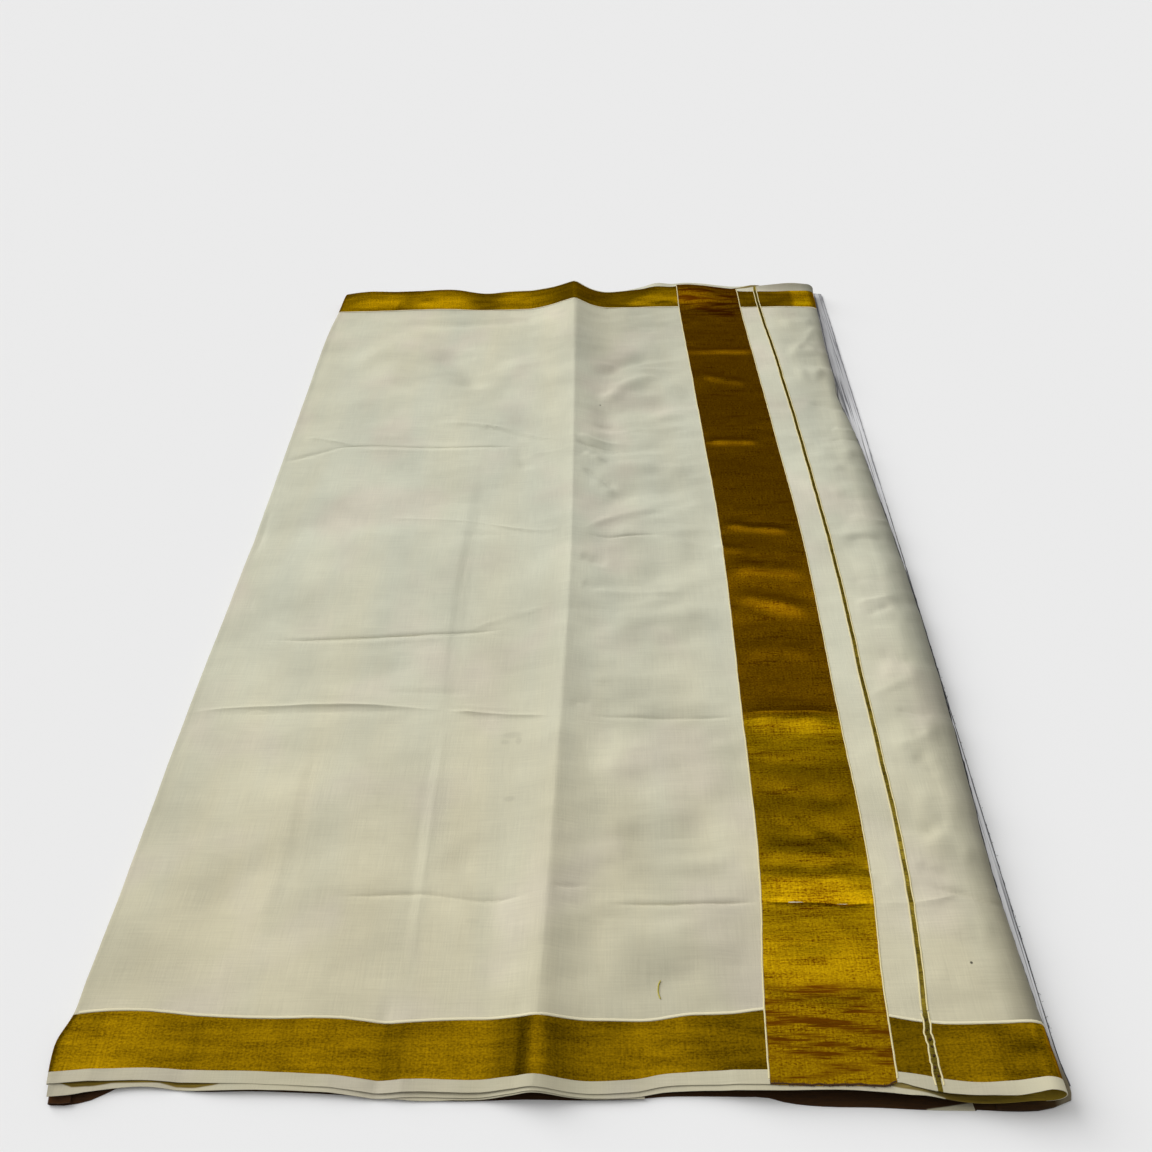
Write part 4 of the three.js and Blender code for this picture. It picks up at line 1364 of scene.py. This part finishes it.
# %% Steps that both trees share
def resampled(nodes, given, mode, **by):
    curve = nodes.add("GeometryNodeMeshToCurve", None, {0: given["Line"]})
    return nodes.add("GeometryNodeResampleCurve", {"mode": mode}, {"Curve": curve, **by})


def swept(nodes, curve, section):
    values = {"Curve": curve, "Profile Curve": section, "Fill Caps": True}
    return nodes.add("GeometryNodeCurveToMesh", None, values)


def moved(nodes, shape, offset):
    return nodes.add("GeometryNodeSetPosition", None, {"Geometry": shape, "Offset": offset})


# %% A thick thread along a line
def thread_tree():
    """A thread of flat section that wobbles a little to both sides of its line."""
    sizes = ("Width", "Height", "Wobble", "Spacing")
    inputs = [*((size, "Float") for size in sizes), ("Seed", "Int")]
    tree, nodes, given = start_tree("thread", inputs)
    points = resampled(nodes, given, "LENGTH", Length=given["Spacing"])
    noise = {"W": given["Seed"] * 7.3, "Scale": 130.0, "Detail": 1.0}
    drift = nodes.split(nodes.add("ShaderNodeTexNoise", {"noise_dimensions": "4D"}, noise, output=1))
    wobble = {k: (drift[k] - 0.5) * given["Wobble"] for k in (0, 1)}
    line = moved(nodes, points, nodes.add("ShaderNodeCombineXYZ", None, wobble))
    upright = nodes.add("GeometryNodeSetCurveNormal", {"mode": "Z_UP"}, {"Curve": line})
    circle = nodes.add("GeometryNodeCurvePrimitiveCircle", None, {"Resolution": 6, "Radius": 1.0})
    halves = {0: given["Width"] / 2, 1: given["Height"] / 2, 2: 1.0}
    size = nodes.add("ShaderNodeCombineXYZ", None, halves)
    section = nodes.add("GeometryNodeTransform", None, {"Geometry": circle, "Scale": size})
    thread = nodes.add("GeometryNodeSetShadeSmooth", None, {0: swept(nodes, upright, section)})
    return end_tree(tree, nodes, thread, given["Material"])


# %% Fibres along a line
def random(nodes, low, high, seed):
    """A random number, or a random vector where low and high are vectors."""
    vector = isinstance(low, tuple)
    settings = {"data_type": "FLOAT_VECTOR" if vector else "FLOAT"}
    first, output = (0, 0) if vector else (2, 1)
    values = {first: low, first + 1: high, 8: seed}
    return nodes.add("FunctionNodeRandomValue", settings, values, output)


def fringe_tree():
    """Short curved fibres that stand off a line every way, some long and most short."""
    sizes = ("Length", "Thickness", "Spread")
    inputs = [("Count", "Int"), *((size, "Float") for size in sizes), ("Seed", "Int")]
    tree, nodes, given = start_tree("fringe", inputs)
    points = resampled(nodes, given, "COUNT", Count=given["Count"])
    bend = {"Resolution": 4, "Radius": 0.8, "Sweep Angle": 0.8}
    fibre = nodes.add("GeometryNodeCurveArc", {"mode": "RADIUS"}, bend)
    section = {"Resolution": 3, "Radius": given["Thickness"]}
    circle = nodes.add("GeometryNodeCurvePrimitiveCircle", None, section)
    rooted = {"Geometry": swept(nodes, fibre, circle), "Translation": (-0.8, 0, 0)}
    hair = nodes.add("GeometryNodeTransform", None, rooted)
    turn = random(nodes, (-0.5, -0.5, -math.pi), (0.5, 0.5, math.pi), given["Seed"] + 1)
    size = random(nodes, 0.25, 1.0, given["Seed"] + 2) * given["Length"]
    copies = {"Points": points, "Instance": hair, "Rotation": turn, "Scale": size}
    placed = nodes.add("GeometryNodeInstanceOnPoints", None, copies)
    drift = random(nodes, (-1.0, -1.0, -0.2), (1.0, 1.0, 0.2), given["Seed"] + 3)
    strewn = moved(nodes, placed, nodes.scaled(drift, given["Spread"]))
    return end_tree(tree, nodes, strewn, given["Material"])


THREAD, FRINGE = thread_tree(), fringe_tree()
print(len(THREAD.nodes), "nodes in the thread tree,", len(FRINGE.nodes), "in the fringe tree")

# %% Thread and fibre colours
edging = plain("edging_thread", (0.66, 0.58, 0.32))
pale_edging = plain("pale_edging", (0.68, 0.63, 0.44))
brown_fibre = plain("brown_fibre", (0.05, 0.02, 0.004))
# The dark and grey lints also draw the painted shadow lines beside the lowest fold.
dark_lint = plain("dark_lint", (0.03, 0.03, 0.035))
grey_lint = plain("grey_lint", (0.16, 0.16, 0.18))
yellow_thread = plain("yellow_thread", (0.42, 0.36, 0.05))

# %% [markdown]
# ## Edging threads
#
# A thick cream thread runs along each side of the band and of the gold line, and the last cream
# threads before each border are packed tighter, so they stand up a little. They lie on the top
# stretch, so their height comes from the same function as the cloth's.

# %% Lines for things to grow on
NEAR_THE_CROWN = 330.0  # an x at which a row is read where it reaches the right fold


def on_top(x, y, lift=0.0):
    return np.stack([x, y, top_height(x, y) + lift], axis=1)


def places(start, end, step):
    return np.linspace(start, end, max(3, round(abs(end - start) / step)))


def away(line, near, far, step=3.0, lift=0.0):
    """Points on the top stretch along a line that runs away from the viewer."""
    y = places(near, far, step)
    return on_top(line(y), y, lift)


def aside(row, left, right, step=3.0, lift=0.0):
    """Points on the top stretch along a row that runs across."""
    x = places(left, right, step)
    return on_top(x, row(x), lift)


def down_the_fold(row):
    """Points over the right fold, from its crown to its side."""
    turn = np.linspace(0, 1.9, 9)[:, None]
    crown = right_crown(row(NEAR_THE_CROWN))
    y = row(crown) + 0 * turn
    high = top_height(crown + 0 * turn, y)
    middle, rise = (high + RIGHT_UNDER) / 2, (high - RIGHT_UNDER) / 2
    return np.concatenate([crown + RIGHT_TURN * np.sin(turn), y, middle + rise * np.cos(turn)], axis=1)


# %% Grow the edging threads
LINE_EDGES = dict(Width=0.0013, Height=0.0009, Wobble=0.0008, Spacing=0.003, Seed=1)
BORDER_EDGES = dict(Width=0.0024, Height=0.0008, Wobble=0.0004, Spacing=0.004, Seed=2)
KNOTTED = (-578, -528)  # where the gold line crosses the near border
FAR_END = 570
EDGED = [  # name, line, where its thread starts
    ("left_of_band", beside(band_left, -0.4), -573),
    ("right_of_band", beside(band_right, 0.4), -573),
    ("left_of_line", beside(line_left, -0.4), -526),
    ("right_of_line", beside(line_right, 0.4), -526),
]
edges = []
for name, line, start in EDGED:
    points = away(line, start, FAR_END)
    edges.append(grow(THREAD, f"thread_{name}", points, Material=edging, **LINE_EDGES))
for name, line, seed in (("left", beside(line_left, -0.7), 4), ("right", beside(line_right, 0.7), 6)):
    wobbly = {**LINE_EDGES, "Wobble": 0.0045, "Spacing": 0.0015, "Seed": seed}
    points = away(line, *KNOTTED, 1.5)
    edges.append(grow(THREAD, f"knotted_thread_{name}", points, Material=edging, **wobbly))
for name, row in (("near", beside(near_in, 1.2)), ("far", beside(far_in, -1.0))):
    gap = band_right(row(236.0)) + 1, line_left(row(260.0)) - 1
    turn = line_right(row(262.0)) + 1, right_crown(row(NEAR_THE_CROWN)) - 3
    spans = {
        "main": aside(row, -338, band_left(row(150.0)) - 1),
        "gap": aside(row, *gap),
        "turn": np.concatenate([aside(row, *turn), down_the_fold(row)]),
    }
    for part, points in spans.items():
        label = f"{name}_border_lip_{part}"
        edges.append(grow(THREAD, label, points, Material=pale_edging, **BORDER_EDGES))

# %% [markdown]
# ## Loose fibres and lint
#
# The band's cut ends at the near edge are ragged and dark. Lint has caught on the fold at the right,
# and one yellow thread lies loose on the cloth. Brown knots sit between the two wobbly threads. Dark
# lines along both sides of the lowest fold at the right are painted shadow, with dirt along them.

# %% Grow the fibres; each kind is a thread or a fringe, its line, and then its sizes in metres
BAND_END = 148, 231
rim_y = np.linspace(-572, 572, 280)
level = 0 * rim_y
outer_rim = np.stack([bottom_right(rim_y) + 1.3, rim_y, 1.2 + level], axis=1)
inner_rim = np.stack([np.minimum(right_fold(rim_y) + 3.2, 345.4), rim_y, FOLD_HIGH + 0.1 + level], axis=1)
lint_line = [(346.6, y, 1.2) for y in np.linspace(-565, -150, 80)]
loose_line = on_top(*polyline([(77.3, -501), (76, -504), (75.4, -508), (75.6, -512), (76.7, -515.5)]).T, 0.4)

band_end_thread = dict(Width=0.0013, Height=0.0008, Wobble=0.0022, Spacing=0.0012, Seed=9)
band_end_fringe = dict(Count=150, Length=0.0032, Seed=5, Thickness=0.07, Spread=0.0005)
knots = dict(Count=7, Length=0.0028, Seed=8, Thickness=0.45, Spread=0.0002)
near_rim_shadow = dict(Width=0.0013, Height=0.0009, Wobble=0.0016, Spacing=0.004, Material=dark_lint)
far_rim_shadow = {**near_rim_shadow, "Width": 0.0009, "Material": grey_lint}
lint = dict(Count=110, Length=0.0042, Seed=11, Thickness=0.04, Spread=0.0006)
loose_thread = dict(Width=0.0009, Height=0.0009, Wobble=0.0003, Spacing=0.0015, Seed=3)

dark_row, ragged_row = beside(near_edge, 0.7), beside(near_edge, 0.5)
dark_end, ragged_end = aside(dark_row, *BAND_END, 2), aside(ragged_row, *BAND_END, 3, 0.1)
knot_line = away(gold_line, -572, -534, 2, 0.3)
fibres = [
    grow(THREAD, "dark_band_end", dark_end, Material=brown_fibre, **band_end_thread),
    grow(FRINGE, "ragged_band_end", ragged_end, Material=brown_fibre, **band_end_fringe),
    grow(FRINGE, "knots_on_the_line", knot_line, Material=brown_fibre, **knots),
]
# painted shadow lines, dark near and grey far, with dirt along them beside the lowest fold
for half, part, dirt_and_shadow in (("near", rim_y < 80, near_rim_shadow), ("far", rim_y > 76, far_rim_shadow)):
    for name, rim, seed in (("outer", outer_rim, 13), ("inner", inner_rim, 15)):
        fibres.append(grow(THREAD, f"dusty_{name}_rim_{half}", rim[part], Seed=seed, **dirt_and_shadow))
fibres += [
    grow(FRINGE, "lint_on_the_right_fold", lint_line, Material=dark_lint, **lint),
    grow(THREAD, "loose_yellow_thread", loose_line, Material=yellow_thread, **loose_thread),
]

# %% [markdown]
# ## The folds inside
#
# Four more stretches lie between the top ones and the floor. Nobody sees more than their edges, so
# one closed solid stands for them. Its sides go in and out once for each layer.

# %% A block whose sides are layered
def layered_block(name, top, base, layers, groove):
    """Top and base are [line, row, xyz] in millimetres; groove is how far its sides go in."""
    lines, rows = top.shape[:2]
    index = np.arange(lines * rows).reshape(lines, rows)
    ring = np.concatenate([index[:-1, 0], index[-1, :-1], index[:0:-1, -1], index[0, :0:-1]])
    upper, lower = top.reshape(-1, 3), base.reshape(-1, 3)
    half = np.ptp(upper[:, :2], axis=0) / 2
    centre = (upper[:, :2].max(axis=0) + upper[:, :2].min(axis=0)) / 2
    rings = []
    for k in range(1, 2 * layers):
        level = mix(lower[ring], upper[ring], k / (2 * layers))
        if k % 2 == 0:
            level[:, :2] = centre + (level[:, :2] - centre) * (1 - groove / half)
        rings.append(level)
    points = np.concatenate([upper, lower, *rings])
    count, start = len(ring), 2 * len(upper)
    loops = [ring + len(upper), *(start + k * count + np.arange(count) for k in range(len(rings))), ring]
    faces = []
    for below, above in zip(loops, loops[1:]):
        quad = np.stack([below, np.roll(below, -1), np.roll(above, -1), above], axis=1)
        faces += quad.tolist()
    faces += quads(index) + quads(index + len(upper), flip=True)
    return woven_piece(name, points, faces, points[:, :2] * MM)


# %% Make the inner folds
inner_left, inner_right = beside(left_crown, 5), beside(right_crown, -6)
inner_lines = between(inner_left, ridge, 9) + between(ridge, inner_right, 9) + [inner_right]
inner_near = smooth([(-346, -569), (-60, -572), (120, -573), (240, -574), (340, -566)])
inner_far = smooth([(-346, 568), (0, 572), (250, 574), (340, 562)])
ROOM = 0.5  # under the stretch above
FOOT, OVER_LEFT_FOLD, OVER_RIGHT_FOLD = 0.9, 5.0, 2.5  # the block steps over the bottom's folds
x, y = grid(inner_lines, between(inner_near, inner_far, 18) + [inner_far])
foot = np.where(x > 292, OVER_RIGHT_FOLD, FOOT)
foot = np.where(x < left_fold(y) + 22, OVER_LEFT_FOLD, foot)
above = np.where(x < THIRD_END + 4, third_height(x, y), second_height(x, y))
roof = np.maximum(above - THICK - ROOM, foot + 0.3)
roof_and_foot = [np.stack([x, y, z], axis=2) for z in (roof, foot)]
inner = layered_block("inner_folds_layered", *roof_and_foot, layers=4, groove=1.0)
print("inner folds", len(inner.data.polygons), "faces")

# %% [markdown]
# ## Materials, and which part each piece stands for
#
# Each zone takes its cotton or its gold. Every piece rides on the one body and replaces the plain
# CAD solid of the same stretch. The sheets state the cut that shows: its length and width laid flat.

# %% Give each piece its material
GOLD_OF = {"near_border": near_gold, "far_border": far_gold, "pallu_band": band_gold, "gold_line": line_gold}
lower_pieces = {
    "second_stretch": (second, second_cotton),
    "third_stretch": (third, third_cotton),
    "bottom_stretch": (bottom, bottom_cotton),
    "inner_folds": (inner, inner_cotton),
}
for node, zone in zones.items():
    gold = next((gold for start, gold in GOLD_OF.items() if node.startswith(start)), None)
    zone.data.materials.append(gold or (lined_cream if node == "near_selvedge_turn" else cream))
    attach(zone, "root")
    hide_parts(node)
for node, (piece, cloth) in lower_pieces.items():
    piece.data.materials.append(cloth)
    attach(piece, "root")
    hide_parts(node)
for piece in edges + fibres:
    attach(piece, "root")
print(len(zones) + len(lower_pieces), "pieces of cloth,", len(edges + fibres), "of thread and fibre")

# %% [markdown]
# ## What each sheet was cut to
#
# Cloth bends and folds but hardly stretches, so a sheet keeps the area that it was cut to. Each
# sheet is stated with its flat size. The zones of the top stretch are one cloth on the real saree,
# so their flat sizes are shares of one cut: so far along the saree by so much of its woven width.
# Threads and lint are listed with the sheet that they lie on. The block of inner folds is no sheet,
# because it stands for several.

# %% Flat sizes, in millimetres
ALONG = {  # length along the saree: by the near edge, in the field and by the far edge
    "main": {"near": 503, "field": 504, "far": 496},
    "gap": {"near": 23, "field": 27, "far": 27},
    "turn": {"near": 99, "field": 86, "far": 96},
}
WOVEN = {"near_selvedge": 8.6, "near_border": 41, "field": 1059, "far_border": 41, "far_selvedge": 9.8}
NARROWEST = 10  # a narrower strip is stated by this width and its own area
CARRIES = {  # the threads and fibres on a sheet
    "field_main": ["far_border_lip_main", "near_border_lip_main", "loose_yellow_thread"],
    "field_gap": ["far_border_lip_gap", "near_border_lip_gap"],
    "field_turn": ["far_border_lip_turn", "near_border_lip_turn"],
    "pallu_band": ["thread_left_of_band", "thread_right_of_band", "dark_band_end", "ragged_band_end"],
    "gold_line": [
        *("thread_left_of_line", "thread_right_of_line", "knotted_thread_left"),
        *("knotted_thread_right", "knots_on_the_line"),
    ],
}


def state_sheet(piece, along, across, rests_on, with_pieces=()):
    """Print the flat size of a piece of cloth, cut to `along` by `across` millimetres."""
    narrow, wide = sorted((along, across))
    flat = (max(narrow, NARROWEST) * MM, wide * MM)
    area = narrow * wide * MM * MM
    print(piece.name, "flat", [round(side, 4) for side in flat], "area", round(area, 5))


# %% State the sheets
for node, zone in zones.items():
    course, _, block = node.rpartition("_")
    if block in ALONG:
        size = (ALONG[block][course.partition("_")[0]], WOVEN[course])
    else:
        size = (BAND if node == "pallu_band" else GOLD_LINE, sum(WOVEN.values()))
    state_sheet(zone, *size, [second.name], CARRIES.get(node, []))
state_sheet(second, 664, 1164, [third.name, inner.name])
state_sheet(third, 400, 1163, [inner.name])
lint_and_rim_shadow_on_bottom = [piece.name for piece in fibres if piece.name.startswith(("dusty", "lint"))]
state_sheet(bottom, 742, 1168, [floor.name], lint_and_rim_shadow_on_bottom)

# %% [markdown]
# ## Sizes
#
# Last, the sizes of the box of what shows and of the box of the plain CAD solids are printed.

# %% Print both boxes and finish
visual_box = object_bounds()
both = (("cad", cad_box), ("visual", visual_box))
boxes = {name: [list(corner) for corner in box] for name, box in both}
for name, (low, high) in boxes.items():
    print(name, "box", [round((b - a) / MM, 1) for a, b in zip(low, high)], "mm")
